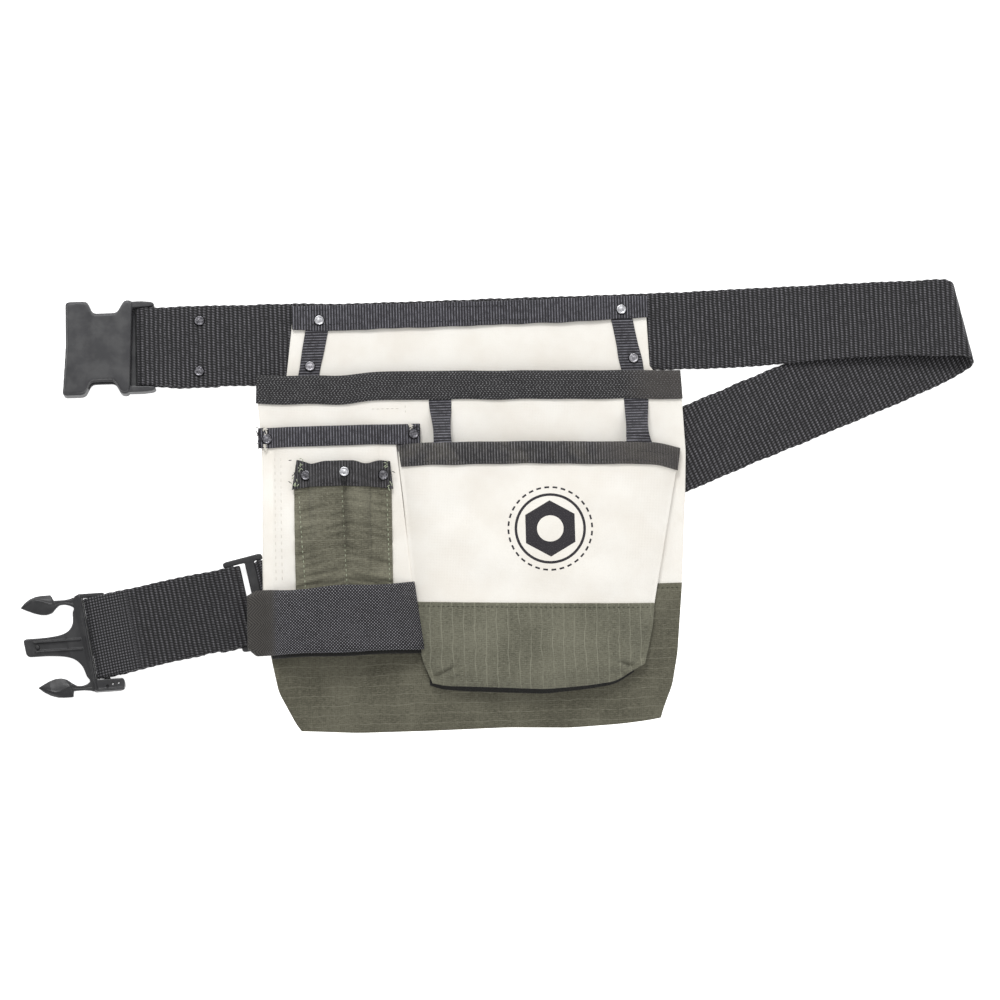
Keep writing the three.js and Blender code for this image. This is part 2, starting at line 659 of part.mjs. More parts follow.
function buildHammerLoop() {
  const { right, left, underEnd, halfWidth, thick, foldRadius, stand, lastStand } = hammerLoop;
  const acrossLoop = new THREE.Vector3(0, 1, 0);
  const outwards = new THREE.Vector3(-1, 0, 0);
  const middle = (x) => mix(-67.8, -65, (x + 126) / 90);
  const standing = (x) => {
    const share = THREE.MathUtils.clamp((x - lastStand) / (right - lastStand), 0, 1);
    const ground = Math.max(...[-46, -66, -86].map((y) => leftHeight(x, y)));
    return ground + layer + 0.4 + stand * crown(share, 4);
  };
  const station = (x, z, turn) => ({
    at: new THREE.Vector3(x, middle(x), z),
    across: acrossLoop,
    up: up.clone().multiplyScalar(Math.cos(turn)).addScaledVector(outwards, Math.sin(turn)),
  });
  const xs = [right, -41, -45, -52, -62, -75, -90, -104, -115, -122, lastStand, -133];
  const stations = xs.map((x) => station(x, standing(Math.max(x, lastStand)), 0));
  const end = standing(lastStand);
  const foldCentre = left + thick / 2 + foldRadius;
  const steps = 6;
  for (let i = 0; i <= steps; i += 1) {
    const angle = (Math.PI * i) / steps;
    const x = foldCentre - foldRadius * Math.sin(angle);
    stations.push(station(x, end - foldRadius * (1 - Math.cos(angle)), angle));
  }
  stations.push(station(underEnd, end - 2 * foldRadius, Math.PI));
  const section = [
    [-halfWidth, -thick / 2], [halfWidth, -thick / 2], [halfWidth, thick / 2], [-halfWidth, thick / 2],
  ];
  add(pouch, 'hammer_loop', sweep(stations, section), tape());
}

const frontPocket = { seam: -58, tapeWidth: 15 };

function buildFrontPocket() {
  const { seam, tapeWidth } = frontPocket;
  const upperRows = [0, 0.2, 0.4, 0.6, 0.76, 0.88, 0.95, 1];
  const lowerRows = [0, 0.1, 0.25, 0.45, 0.7, 1];
  const front = (low, top, rows) => panel(frontLeft, frontRight, low, top, frontHeight, edgeFine, rows);
  add(pouch, 'front_pocket_panel',
    front(seam + layerGap / 2, (x) => frontTop(x) - 2 * layer, upperRows), canvas());
  add(pouch, 'front_pocket_base', front(frontBottom, () => seam - layerGap / 2, lowerRows), ripstop());
  const lines = linesBetween(frontLeft, frontRight);
  add(pouch, 'front_pocket_tape', binding(lines, frontTop, tapeWidth, frontHeight), tape());

  const straps = { pocket_strap_left: [-22.5, -9.3], pocket_strap_right: [99, 113] };
  for (const [name, [x0, x1]] of Object.entries(straps)) {
    const middle = (x0 + x1) / 2;
    const sewn = mainHeight(middle, 69) + layer;
    const rows = [[69, sewn + 0.2], [62, sewn + 1.2], [48, frontHeight(middle, 42) + 0.3]];
    const place = (u, v) => {
      const [y, z] = rows[Math.round(v * 2)];
      return new THREE.Vector3(mix(x0, x1, u), y, z);
    };
    add(pouch, name, sheet([0, 1], [0, 0.5, 1], place, 1), tape());
  }
}

// ---- rivets ----

/** A tubular rivet along +Z: its flange under z = 0, its domed head over z = grip. */
function rivetGeometry(grip) {
  const { head, dome, shank, flange, flangeHeight, gap } = rivet;
  const profile = [
    [0, -gap - flangeHeight], [flange, -gap - flangeHeight], [flange, -gap], [shank, -gap],
    [shank, grip + gap], [head, grip + gap], [head, grip + gap + 0.35],
    [head * 0.72, grip + gap + dome * 0.8], [0, grip + gap + dome],
  ];
  const points = profile.map(([r, z]) => new THREE.Vector2(r, z));
  return new THREE.LatheGeometry(points, 10).rotateX(Math.PI / 2);
}

/** Cuts a round hole, upright in the frame of `place`, through a named piece. */
function pierce(name, place, x, y, radius, low, high) {
  const mesh = pieces.get(name);
  place.updateWorldMatrix(true, false);
  mesh.updateWorldMatrix(true, false);
  const pin = roundPin(x, y, radius, low, high).applyMatrix4(place.matrixWorld);
  mesh.geometry = cut(mesh.geometry, pin.applyMatrix4(mesh.matrixWorld.clone().invert()));
}

/** Sets a rivet square to the surface z = height(x, y), gripping from `low` to that surface. */
function setRivet(place, name, [x, y], low, height, through, material) {
  const step = 4;
  const normal = new THREE.Vector3(
    height(x - step, y) - height(x + step, y),
    height(x, y - step) - height(x, y + step),
    2 * step,
  ).normalize();
  const top = height(x, y);
  const grip = (top - low) * normal.z;
  const mesh = add(place, name, rivetGeometry(grip), material);
  mesh.quaternion.setFromUnitVectors(up, normal);
  mesh.position.set(x, y, (top + low) / 2).addScaledVector(normal, -grip / 2);
  for (const piece of through) pierce(piece, place, x, y, rivet.hole, -1, 60);
}

function buildRivets() {
  const recess = rivet.gap + rivet.flangeHeight;
  const sink = (place, [x, y]) => pierce('belt_upper', place, x, y, rivet.flange + 0.6, -1, recess);
  const dark = () => metal(rivetDark);
  const bright = () => metal(rivetNickel);

  const strapTop = () => secondLayer + webbing.thickness / 2;
  const onStrap = { rivet_belt_upper: [33.8, 16.2], rivet_belt_lower: [33.8, -16.2] };
  for (const [name, spot] of Object.entries(onStrap)) {
    setRivet(belt, name, spot, recess, strapTop, ['belt_upper'], dark());
    sink(belt, spot);
  }

  const overTab = () => tabHeight + layer + cloth / 2;
  const onTab = [
    ['rivet_tab_top_left', [-91.5, 123.5], 'top_tape', bright()],
    ['rivet_tab_top_right', [95.5, 124.4], 'top_tape', bright()],
    ['rivet_tab_low_left', [-97.9, 95], 'side_tape_left', dark()],
    ['rivet_tab_low_right', [103.6, 96], 'side_tape_right', dark()],
  ];
  for (const [name, spot, tapeName, material] of onTab) {
    setRivet(pouch, name, spot, recess, overTab, [tapeName, 'back_panel', 'belt_upper'], material);
    sink(pouch, spot);
  }

  const overTape = (x, y) => leftHeight(x, y) + layer + cloth / 2;
  const onPocket = { rivet_pocket_left: [-124, 50], rivet_pocket_right: [-35, 50.5] };
  for (const [name, spot] of Object.entries(onPocket)) {
    const low = mainHeight(...spot) - cloth / 2;
    const through = ['left_pocket_tape', 'left_pocket_panel', 'main_pocket_panel'];
    setRivet(pouch, name, spot, low, overTape, through, dark());
  }

  const sleeveTop = (x, y) => leftHeight(x, y) + 2 * layer + 0.2 + cloth / 2;
  const onSleeve = [
    ['rivet_sleeve_left', [-102.4, 24.2], dark()],
    ['rivet_sleeve_middle', [-77, 25.5], bright()],
    ['rivet_sleeve_right', [-52.2, 23.6], dark()],
  ];
  for (const [name, spot, material] of onSleeve) {
    const low = leftHeight(...spot) - cloth / 2 - layerGap;
    const through = ['tool_sleeve_tape', 'tool_sleeve', 'left_pocket_panel'];
    setRivet(pouch, name, spot, low, sleeveTop, through, material);
  }
}

const whole = new THREE.Group();
whole.add(belt, strapPlace, pouch);

buildUpperBelt();
buildRightBelt();
buildLowerBelt();
buildFemaleBuckle();
buildSlider();
buildAdjuster();
buildPouchBody();
buildLeftPocket();
buildHammerLoop();
buildFrontPocket();
buildRivets();

whole.updateMatrixWorld(true);
const bounds = new THREE.Box3().setFromObject(whole, true);
const centre = bounds.getCenter(new THREE.Vector3());
whole.position.set(-centre.x, -centre.y, -bounds.min.z);

export default whole;
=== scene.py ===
"""Looks for a tool belt that lies on a pale floor: webbing, canvas pouch, tapes, rivets and moulded hardware.

Shapes are worked out in millimetres in each part's own flat frame, then placed in the row frame in metres.
"""

import math

import bmesh
import bpy
import numpy as np
from mathutils import Matrix, Vector
from mathutils.bvhtree import BVHTree


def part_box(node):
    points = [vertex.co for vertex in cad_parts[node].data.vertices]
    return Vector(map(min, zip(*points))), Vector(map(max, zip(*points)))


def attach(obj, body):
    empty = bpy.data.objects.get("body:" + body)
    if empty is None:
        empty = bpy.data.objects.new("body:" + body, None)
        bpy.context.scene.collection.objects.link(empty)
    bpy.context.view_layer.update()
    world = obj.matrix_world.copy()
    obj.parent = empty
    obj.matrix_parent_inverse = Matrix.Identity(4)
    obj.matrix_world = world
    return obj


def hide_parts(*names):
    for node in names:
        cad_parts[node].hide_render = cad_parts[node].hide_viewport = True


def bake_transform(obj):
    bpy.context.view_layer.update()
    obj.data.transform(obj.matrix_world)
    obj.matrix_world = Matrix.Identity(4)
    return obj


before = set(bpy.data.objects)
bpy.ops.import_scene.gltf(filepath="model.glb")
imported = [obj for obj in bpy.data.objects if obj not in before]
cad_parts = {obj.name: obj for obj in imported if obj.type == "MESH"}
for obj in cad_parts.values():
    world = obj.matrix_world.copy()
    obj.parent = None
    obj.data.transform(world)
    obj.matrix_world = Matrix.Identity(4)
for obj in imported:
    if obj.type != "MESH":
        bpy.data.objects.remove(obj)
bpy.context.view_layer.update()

MM = 0.001
SHIFT = np.array([0.558, -0.799])    # from the layout's origin to the row frame's, in mm
UP = np.array([0, 0, 1.0])


# ---- places and small maths ----

def heading(degrees):
    """A unit vector in the plane at that angle from +X."""
    return np.array([math.cos(math.radians(degrees)), math.sin(math.radians(degrees)), 0.0])


class Place:
    """A flat local frame: where its origin is, and how far it is turned, in the row frame.

    Its layers may slump: each point is moved down its own y axis by `slump` times its height.
    """

    def __init__(self, x, y, tilt, slump=0.0):
        self.origin = np.array([x, y, 0.0])
        self.slump = slump
        self.along = heading(tilt)
        self.across = heading(tilt + 90)

    def __call__(self, x, y, z):
        """Row-frame points, in mm, of local coordinates that broadcast together."""
        x, y, z = np.broadcast_arrays(np.asarray(x, float), np.asarray(y, float), np.asarray(z, float))
        points = self.origin + x[..., None] * self.along + (y - self.slump * z)[..., None] * self.across
        points[..., 2] = z
        return points


def shifted(x, y, tilt, slump=0.0):
    return Place(x + SHIFT[0], y + SHIFT[1], tilt, slump)


BELT_TILT = 2.0
BELT = shifted(-221.2, 100.4, BELT_TILT)
POUCH = shifted(-17.8, -2.2, 1.5, slump=0.176)
STRAP_TILT = 193.5
STRAP = shifted(-152.5, -61.9, STRAP_TILT)
MALE_AT = 94.8
MALE = Place(*STRAP(MALE_AT, 0, 0)[:2], STRAP_TILT - 6.5)


def smoothstep(value, low, high):
    share = np.clip((np.asarray(value, float) - low) / (high - low), 0, 1)
    return share * share * (3 - 2 * share)


def mix(a, b, share):
    return a + (b - a) * share


def soft_noise(x, y, size, seed):
    """A smooth random field of about -1 to 1, whose bumps are about `size` mm across."""
    rng = np.random.default_rng(seed)
    total = np.zeros(np.broadcast(x, y).shape)
    waves = 14
    for angle, phase, stretch in rng.uniform(0, 1, (waves, 3)):
        turn = 2 * math.pi * angle
        length = size * mix(1.2, 2.6, stretch)
        total += np.sin(2 * math.pi * (x * math.cos(turn) + y * math.sin(turn)) / length
                        + 2 * math.pi * phase)
    return total / math.sqrt(waves)


def ridge(x, y, start, end, width):
    """1 on the line from start to end, fading to 0 over `width` mm beside it and at its ends."""
    (ax, ay), (bx, by) = start, end
    length = math.hypot(bx - ax, by - ay)
    dx, dy = (bx - ax) / length, (by - ay) / length
    t = np.clip(((x - ax) * dx + (y - ay) * dy) / length, 0, 1)
    away = np.hypot(x - mix(ax, bx, t), y - mix(ay, by, t))
    return np.exp(-(away / width) ** 2) * np.sin(math.pi * np.clip(t, 0.04, 0.96)) ** 0.5


def through(*points, ease=3.0):
    """A smooth function through (value, result) points, its corners eased over `ease` mm."""
    values, results = np.array(points, float).T

    def exact(at):
        i = np.clip(np.searchsorted(values, at) - 1, 0, len(values) - 2)
        return results[i] + (results[i + 1] - results[i]) * (at - values[i]) / (values[i + 1] - values[i])

    def function(at):
        at = np.asarray(at, float)
        return sum(exact(at + ease * k) for k in (-1, -0.5, 0, 0.5, 1)) / 5

    return function


def constant(value):
    return lambda at: value + 0 * np.asarray(at, float)


# ---- meshes ----

def new_object(name, mesh, material, body, slot, *nodes):
    """A piece that rides on a body and stands for these CAD nodes."""
    piece = bpy.data.objects.new(name, mesh)
    bpy.context.scene.collection.objects.link(piece)
    mesh.materials.clear()
    mesh.materials.append(material)
    if body:
        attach(piece, body)
    if nodes:
        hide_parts(*nodes)
    return piece


def mesh_from(name, points_mm, faces, uvs=None):
    mesh = bpy.data.meshes.new(name)
    mesh.from_pydata((np.asarray(points_mm) * MM).tolist(), [], faces)
    if uvs is not None:
        layer = mesh.uv_layers.new(name="flat")
        loops = np.zeros(len(mesh.loops), int)
        mesh.loops.foreach_get("vertex_index", loops)
        layer.data.foreach_set("uv", np.asarray(uvs, float)[loops].ravel())
    mesh.polygons.foreach_set("use_smooth", [True] * len(mesh.polygons))
    mesh.update()
    return mesh


def joined(parts):
    """The points and faces of several parts as one."""
    points, faces = [], []
    for some, quads in parts:
        faces += [[i + len(points) for i in quad] for quad in quads]
        points += some
    return points, faces


def tube_faces(rings, around, turn=1):
    """Quads between rings of points, then a cap at each end; turn=-1 faces them the other way."""
    faces = []
    for i in range(rings - 1):
        for k in range(around):
            p, q = i * around + k, i * around + (k + 1) % around
            faces.append([p, q, q + around, p + around][::turn])
    faces.append(list(range(around))[::-turn])
    faces.append([(rings - 1) * around + k for k in range(around)][::turn])
    return faces


def grid_quads(index):
    """Quads over a grid of point numbers."""
    return np.stack([index[:-1, :-1], index[1:, :-1], index[1:, 1:], index[:-1, 1:]], -1).reshape(-1, 4)


def slab_mesh(name, middle, thickness, rim, flat_u, flat_v, relief=0.0):
    """A closed cloth or strap: a grid of middle points (rows, columns, 3) given a thickness in mm.

    It rounds off over `rim` mm at its border. flat_u and flat_v are each point's place on the flat
    cloth in mm, which its material reads, and relief is added to the thickness on both faces.
    """
    rows, columns = middle.shape[:2]
    normal = np.cross(np.gradient(middle, axis=0), np.gradient(middle, axis=1))
    normal /= np.maximum(np.linalg.norm(normal, axis=2, keepdims=True), 1e-9)
    flat = [np.broadcast_to(values, (rows, columns)) for values in (flat_u, flat_v)]
    from_ends = np.max([np.minimum(np.abs(f - f[:1]), np.abs(f - f[-1:])) for f in flat], axis=0)
    from_sides = np.max([np.minimum(np.abs(f - f[:, :1]), np.abs(f - f[:, -1:])) for f in flat], axis=0)
    inwards = np.clip(np.minimum(from_ends, from_sides) / rim, 0, 1)
    half = (thickness / 2 + relief) * np.sqrt(1 - (1 - inwards) ** 2)
    index = np.arange(rows * columns).reshape(rows, columns)
    lower = index + rows * columns
    lower[0], lower[-1], lower[:, 0], lower[:, -1] = index[0], index[-1], index[:, 0], index[:, -1]
    faces = np.concatenate([grid_quads(index), grid_quads(lower)[:, [0, 3, 2, 1]]])
    used = np.unique(faces)
    renumber = np.zeros(2 * rows * columns, int)
    renumber[used] = np.arange(len(used))
    points = np.concatenate([(middle + normal * sign * half[..., None]).reshape(-1, 3) for sign in (1, -1)])
    uv = np.stack([f.ravel() for f in flat], 1)
    return mesh_from(name, points[used], renumber[faces].tolist(), np.concatenate([uv, uv])[used])


def with_rim(low, high, step, rim):
    """Sample values from low to high, with extra ones near both ends for a rounded border."""
    count = max(2, round((high - low - 2 * rim) / step))
    inside = np.linspace(low + rim, high - rim, count + 1)
    edge = rim * np.array([0, 0.1, 0.3, 0.6])
    return np.concatenate([low + edge, inside, (high - edge)[::-1]])


# ---- webbing ----

WEBBING_HALF = 25.0
WEBBING_THICK = 1.8
WEBBING_STEP = 0.62
ON_FLOOR = WEBBING_THICK / 2
SECOND = ON_FLOOR + WEBBING_THICK + 0.3
THIRD = SECOND + WEBBING_THICK + 0.3
RIB_PITCH = 2.8
SLIDER_HEIGHT = 5.5
LOOP_RADIUS = 2.5
MALE_BAR_HEIGHT = 4.05
FEMALE_BAR_HEIGHT = 6.0
BUCKLE_LOOP = 3.15


def resample(points, step):
    """Points along a broken line, about `step` apart, with its kinks eased."""
    points = np.asarray(points, float)
    gaps = np.linalg.norm(np.diff(points[:, :3], axis=0), axis=1)
    travelled = np.concatenate([[0], np.cumsum(gaps)])
    count = max(2, round(travelled[-1] / step))
    wanted = np.linspace(0, travelled[-1], count + 1)
    even = np.stack([np.interp(wanted, travelled, points[:, k]) for k in range(points.shape[1])], 1)
    reach = max(1, round(1.1 / step))
    window = np.exp(-0.5 * (np.arange(-3 * reach, 3 * reach + 1) / reach) ** 2)
    window /= window.sum()
    padded = np.concatenate([
        2 * even[:1] - even[1:3 * reach + 1][::-1], even, 2 * even[-1:] - even[-3 * reach - 1:-1][::-1]])
    eased = np.stack([np.convolve(padded[:, k], window, "valid") for k in range(points.shape[1])], 1)
    return eased, wanted


def half_turn(x, z, radius, side, from_top=True, reach=None, steps=16):
    """Points [x, z] round a bar's `side`, from its top to its bottom or back up; `reach` is the slack."""
    reach = reach or radius
    angles = np.linspace(0, math.pi, steps + 1)
    if not from_top:
        angles = angles[::-1]
    return [[x + side * reach * math.sin(a), z + radius * math.cos(a)] for a in angles]


def scalloped(columns, travelled):
    """Crosswise places, whose outermost millimetre is scalloped by every second cord."""
    wave = np.abs(np.sin(math.pi * travelled / (2 * RIB_PITCH)))[:, None]
    edge = smoothstep(np.abs(columns), WEBBING_HALF - 1.5, WEBBING_HALF)[None, :]
    return columns[None, :] - np.sign(columns)[None, :] * 0.45 * (1 - wave) * edge


def webbing_piece(name, middle, lengthwise, crosswise, material, body, *nodes):
    """Webbing over a grid of middle points: cords across it, with firmer edges."""
    drift = 0.35 * soft_noise(lengthwise, crosswise, 16, 14)
    cord = np.abs(np.sin(math.pi * (lengthwise + drift) / RIB_PITCH)) ** 0.6
    edge = smoothstep(np.abs(crosswise), WEBBING_HALF - 2.2, WEBBING_HALF - 1.4)
    relief = 0.36 * mix(cord, 0.8, edge) - 0.24
    mesh = slab_mesh(name, middle, WEBBING_THICK, 0.9, lengthwise, crosswise, relief)
    return new_object(name, mesh, material, body, "webbing", *nodes)


def strips(centre, across, sides):
    """Points beside a middle line, by the distances in `sides`."""
    return centre[:, None, :] + across[:, None, :] * sides[..., None]


WEBBING_COLUMNS = with_rim(-WEBBING_HALF, WEBBING_HALF, 2.2, 0.9)
FOLD_HALF = 11.3
FOLD_RADIUS = 4.65
FOLD_REACH = 195.0
FOLD_LIFT = 162.0
UPPER_LENGTH = 513.3
FOLD_JOIN = 300.0
FOLD_TILT = BELT_TILT + FOLD_HALF
FOLD_OUT = heading(FOLD_TILT)
FOLD_ALONG = heading(FOLD_TILT + 90)
FOLD_APEX = BELT(UPPER_LENGTH, 0, 0)


def from_fold(flat_s, flat_v):
    """How far flat webbing is beyond the line it folds on, and along that line; flat_s is 0 at the fold."""
    angle = math.radians(FOLD_HALF)
    return (flat_s * math.cos(angle) + flat_v * math.sin(angle),
            flat_v * math.cos(angle) - flat_s * math.sin(angle))


def folded(flat_s, flat_v):
    """Where the belt's flat webbing goes near its right-hand fold."""
    out, along = from_fold(flat_s, flat_v)
    turn = np.clip((out + FOLD_RADIUS) / FOLD_RADIUS, 0, math.pi)
    past = out + FOLD_RADIUS - math.pi * FOLD_RADIUS
    on_top = out < -FOLD_RADIUS
    back = np.where(on_top, -out, np.where(past > 0, FOLD_RADIUS + past, FOLD_RADIUS * (1 - np.sin(turn))))
    top = ON_FLOOR + 2 * FOLD_RADIUS
    slope = np.clip((FOLD_LIFT - back) / (FOLD_LIFT - FOLD_RADIUS), 0, 1)
    rising = mix(ON_FLOOR, top, mix(slope, slope * slope * (3 - 2 * slope), 0.35))
    round_it = ON_FLOOR + FOLD_RADIUS * (1 + np.cos(turn))
    points = FOLD_APEX - back[..., None] * FOLD_OUT + along[..., None] * FOLD_ALONG
    points[..., 2] = np.where(on_top, rising, np.where(past > 0, ON_FLOOR, round_it))
    return points


def lower_plan():
    """The lower run's middle line on the floor plan, from under the fold to the slider's bar."""
    start_s = (FOLD_REACH + (math.pi - 2) * FOLD_RADIUS) / math.cos(math.radians(FOLD_HALF))
    start = folded(np.array([start_s]), np.array([0.0]))[0]
    start[2] = 0
    bar = STRAP(-10.0, 0, 0)
    span = np.linalg.norm(bar - start)
    towards = heading(180 + FOLD_TILT + FOLD_HALF)
    handles = [start, start + towards * span / 3, bar - STRAP.along * span / 3, bar]
    t = np.linspace(0, 1, 200)[:, None]
    curve = (handles[0] * (1 - t) ** 3 + 3 * handles[1] * t * (1 - t) ** 2
             + 3 * handles[2] * t ** 2 * (1 - t) + handles[3] * t ** 3)
    return curve, start_s, span


def relaxed(flat_s, flat_v):
    """How the fold's slack moves the webbing sideways: it sags past the fold, and lifts before it."""
    out = from_fold(flat_s, flat_v)[0]
    sag = np.interp(out, [-FOLD_RADIUS, FOLD_RADIUS, 20, 40, 80, 150, 240, 300],
                    [0, -3.0, -5.2, -5.4, -4.6, -1.8, 0.4, 0])
    before = np.exp(-((out + 62) / 55) ** 2) * (out < 0)
    move = np.zeros((*out.shape, 3))
    move[..., 1] = sag + 3.2 * before * smoothstep(-flat_v, -30, 25)
    return move


def build_belt():
    """The whole waist webbing, one strap from behind the female buckle round to the slider."""
    female_loop = (
        [[46, ON_FLOOR], [27, ON_FLOOR]]
        + half_turn(0, FEMALE_BAR_HEIGHT, BUCKLE_LOOP, -1, from_top=False, reach=5.05)
        + [[27, SECOND], [48, SECOND], [66, ON_FLOOR], [FOLD_JOIN, ON_FLOOR]])
    line, travelled = resample(female_loop, WEBBING_STEP)
    first = BELT(line[:, 0], 0, line[:, 1])

    joint_s = FOLD_JOIN - UPPER_LENGTH
    plan, start_s, span = lower_plan()
    fold_s = np.arange(joint_s + WEBBING_STEP, start_s, WEBBING_STEP)

    from_bar = np.linspace(1, 0, len(plan)) * span
    plan[:, 2] = np.interp(-from_bar, [-span, -span * 0.7, -60, -34, -30, -20, -14, 0],
                           [ON_FLOOR] * 3 + [SECOND, SECOND, THIRD, THIRD, SLIDER_HEIGHT + LOOP_RADIUS])
    side_of_plan = np.cross(np.gradient(plan, axis=0) * [1, 1, 0], UP)
    side_of_plan /= np.linalg.norm(side_of_plan, axis=1, keepdims=True)
    loop = np.array(half_turn(-10, SLIDER_HEIGHT, LOOP_RADIUS, 1)[1:] + [[-18, SECOND], [-29, SECOND]])
    round_bar = STRAP(loop[:, 0], 0, loop[:, 1])
    bar_side = np.broadcast_to(side_of_plan[-1], round_bar.shape)
    tail = np.concatenate([np.hstack([plan, side_of_plan]), np.hstack([round_bar, bar_side])])
    tail, tail_travelled = resample(tail, WEBBING_STEP)
    tail_across = tail[:, 3:] / np.linalg.norm(tail[:, 3:], axis=1, keepdims=True)

    start = travelled[-1] - joint_s
    stations = np.concatenate([travelled, start + fold_s, start + start_s + tail_travelled])
    looseness = np.interp(stations, [29, 45, 69, 85, 150, 185, 390, 430], [1, 0, 0, 1, 1, 0, 0, 0.4])
    spread = 1 + 0.055 * looseness * smoothstep(stations[-1] - stations, 40, 80)
    sides = scalloped(WEBBING_COLUMNS, stations) * spread[:, None]
    joint, fold_end = len(travelled), len(travelled) + len(fold_s)
    middle = np.concatenate([
        strips(first, np.broadcast_to(BELT.across, first.shape), sides[:joint]),
        folded(fold_s[:, None], sides[joint:fold_end]),
        strips(tail[:, :3], tail_across, sides[fold_end:])])
    lengthwise = np.broadcast_to(stations[:, None], middle.shape[:2])
    crosswise = np.broadcast_to(WEBBING_COLUMNS[None, :], middle.shape[:2])
    middle = middle + relaxed(lengthwise - start, crosswise)
    wave = 0.16 * soft_noise(lengthwise, crosswise, 60, 21) * smoothstep(lengthwise, 130, 190)
    middle = middle + UP * np.abs(wave)[..., None]
    swelling = 0.006 * soft_noise(lengthwise, 0 * lengthwise, 14, 22)
    middle = middle + (middle - middle.mean(axis=1, keepdims=True)) * swelling[..., None]
    piece = webbing_piece("waist_webbing", middle, lengthwise, crosswise, webbing, "belt_and_pouch",
                          "belt_upper", "belt_right", "belt_lower")


SPLIT = 46.0
LOOP_START = 88.0


def build_adjuster():
    """The adjusting strap: one top stretch with both its loops, and the tail doubled back beneath."""
    slider_bar = 6.5 + 0.6
    anchor = ([[26, SECOND], [11.5, SECOND]]
              + half_turn(slider_bar, SLIDER_HEIGHT, LOOP_RADIUS, -1, from_top=False, reach=4.3))
    run = [[11.5, SLIDER_HEIGHT + LOOP_RADIUS], [26, THIRD], [38, 4.3], [48, 4.0], [60, 4.0], [70, 4.8],
           [78, 6.2], [LOOP_START, MALE_BAR_HEIGHT + BUCKLE_LOOP]]
    turn_back = half_turn(MALE_AT, MALE_BAR_HEIGHT, BUCKLE_LOOP, 1, reach=7.4) + [[LOOP_START, ON_FLOOR]]
    tail = [[LOOP_START, ON_FLOOR], [SPLIT, ON_FLOOR], [36, ON_FLOOR]]

    def strip(name, points, material, nodes, bodies, start, end, held, rests_on):
        """One stretch, a little off the slider's line and turned; start and end, the [x, z] of its blend, are
        not used.
        """
        line, travelled = resample(points, WEBBING_STEP)
        side = np.interp(line[:, 0], [0, 20, 30, 56, 78, 96], [0.6, 0.3, -0.4, -1.7, -1.6, -1.3])
        turn = -2.2 * smoothstep(line[:, 0], 40, 88)
        spread = 1 + 0.025 * smoothstep(line[:, 0], -20, 30)
        wander = soft_noise(travelled, 0 * travelled, 30, 11) * 0.25
        sides = scalloped(WEBBING_COLUMNS, travelled) * spread[:, None] + wander[:, None]
        across = np.stack([heading(STRAP_TILT + 90 + angle) for angle in turn])
        middle = strips(STRAP(line[:, 0], side, line[:, 1]), across, sides)
        lengthwise = np.broadcast_to(travelled[:, None], sides.shape)
        crosswise = np.broadcast_to(WEBBING_COLUMNS[None, :], sides.shape)
        middle = middle + UP * (0.12 * soft_noise(lengthwise, crosswise, 45, 12))[..., None]
        piece = webbing_piece(name, middle, lengthwise, crosswise, material, None, *nodes)
        tuple(STRAP(start[0], 0, start[1]) * MM)
        tuple(STRAP(end[0], 0, end[1]) * MM)
        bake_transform(piece)

    strip("adjusting_webbing", anchor + run + turn_back, webbing_tight,
          ["adjuster_anchor", "adjuster_run", "buckle_loop"], ["slider_frame", "buckle_strap"],
          (30, 4), (84, 4), "folded", ["slider", "male_buckle"])
    strip("adjusting_webbing_tail", tail, webbing, ["tail_run", "tail_end"], ["buckle_strap", "strap_tail"],
          (86, 1), (48, 1), "laid", ["floor"])


# ---- the pouch's surfaces ----

LAYER = 1.5
CLOTH = 1.2
OVERLAP = 1.25
BODY_TOP = 88.0
BODY_BOTTOM = -137.0
MAIN_SEAM = -49.6
TAB_TOP = 131.0
LEFT_TOP = 56.0
SLEEVE_TOP = 30

body_left = through((-137, -105), (-131.7, -109.4), (-111, -120.2), (-92, -124), (-66, -128.3),
                    (-47.4, -129.1), (41, -128.8), (71, -131), (88, -131))
body_right = through((-137, 109.5), (-131.5, 114), (-123, 117), (-111, 122.6), (-92, 126.5), (-49.8, 130.8),
                     (8, 134.8), (34, 136), (70, 134.6), (88, 134.2))
body_bottom = through((-130, -135), (-105.8, -135.6), (-72, -137.8), (-28, -137.6), (20, -136.7),
                      (59, -137.9), (90, -136.3), (109, -134.3), (120, -132), ease=5)
front_left = through((-114, -21.5), (-104.7, -25), (-94.4, -30.3), (-86.8, -32.3), (-56.2, -35.6),
                     (-18, -38.9), (7.4, -40.8), (27, -42.8), (44, -43.6), ease=2)
front_right = through((-114, 95), (-104.5, 96.4), (-102.5, 98.5), (-100.4, 101.5), (-85.3, 107.5),
                      (-72.8, 111.6), (-61.4, 113.1), (22.3, 129.4), (44, 134.4), ease=2)
front_bottom = through((-24, -108), (-18, -109.4), (6.8, -110.6), (44.2, -112.9), (69.3, -111.3),
                       (88.1, -109), (96.4, -103.8), (102, -101), ease=4)
front_seam = through((-40, -56.8), (1.3, -58.1), (55, -59.9), (120, -61.9))
main_top = through((-134, 90.2), (-110, 88.6), (-75.6, 88.0), (-63, 89.2), (-46.8, 89.9), (5, 88.8),
                   (74.5, 87.4), (140, 86.0), ease=6)
front_top = through((-46, 43), (-23.6, 43.8), (3.9, 43.6), (57.7, 42.4), (107, 41), (118, 40), (134, 36.2),
                    ease=4)
left_edge = constant(-128.3)
left_far_edge = through((-60, -35.5), (-43.5, -36.5), (40, -44.3), (60, -45.5))
sleeve_left = through((-60, -108.3), (16, -108.3), (34, -107.0))
sleeve_right = through((-60, -48.4), (14, -47.9), (34, -48.6))


def crown(share, power):
    return 1 - np.abs(2 * share - 1) ** power


def rise(share, power):
    return 1 - (1 - np.clip(share, 0, 1)) ** power


def share_of(left, right, x, y, margin):
    a, b = left(y) + margin, right(y) - margin
    return np.clip((x - a) / (b - a), 0, 1)


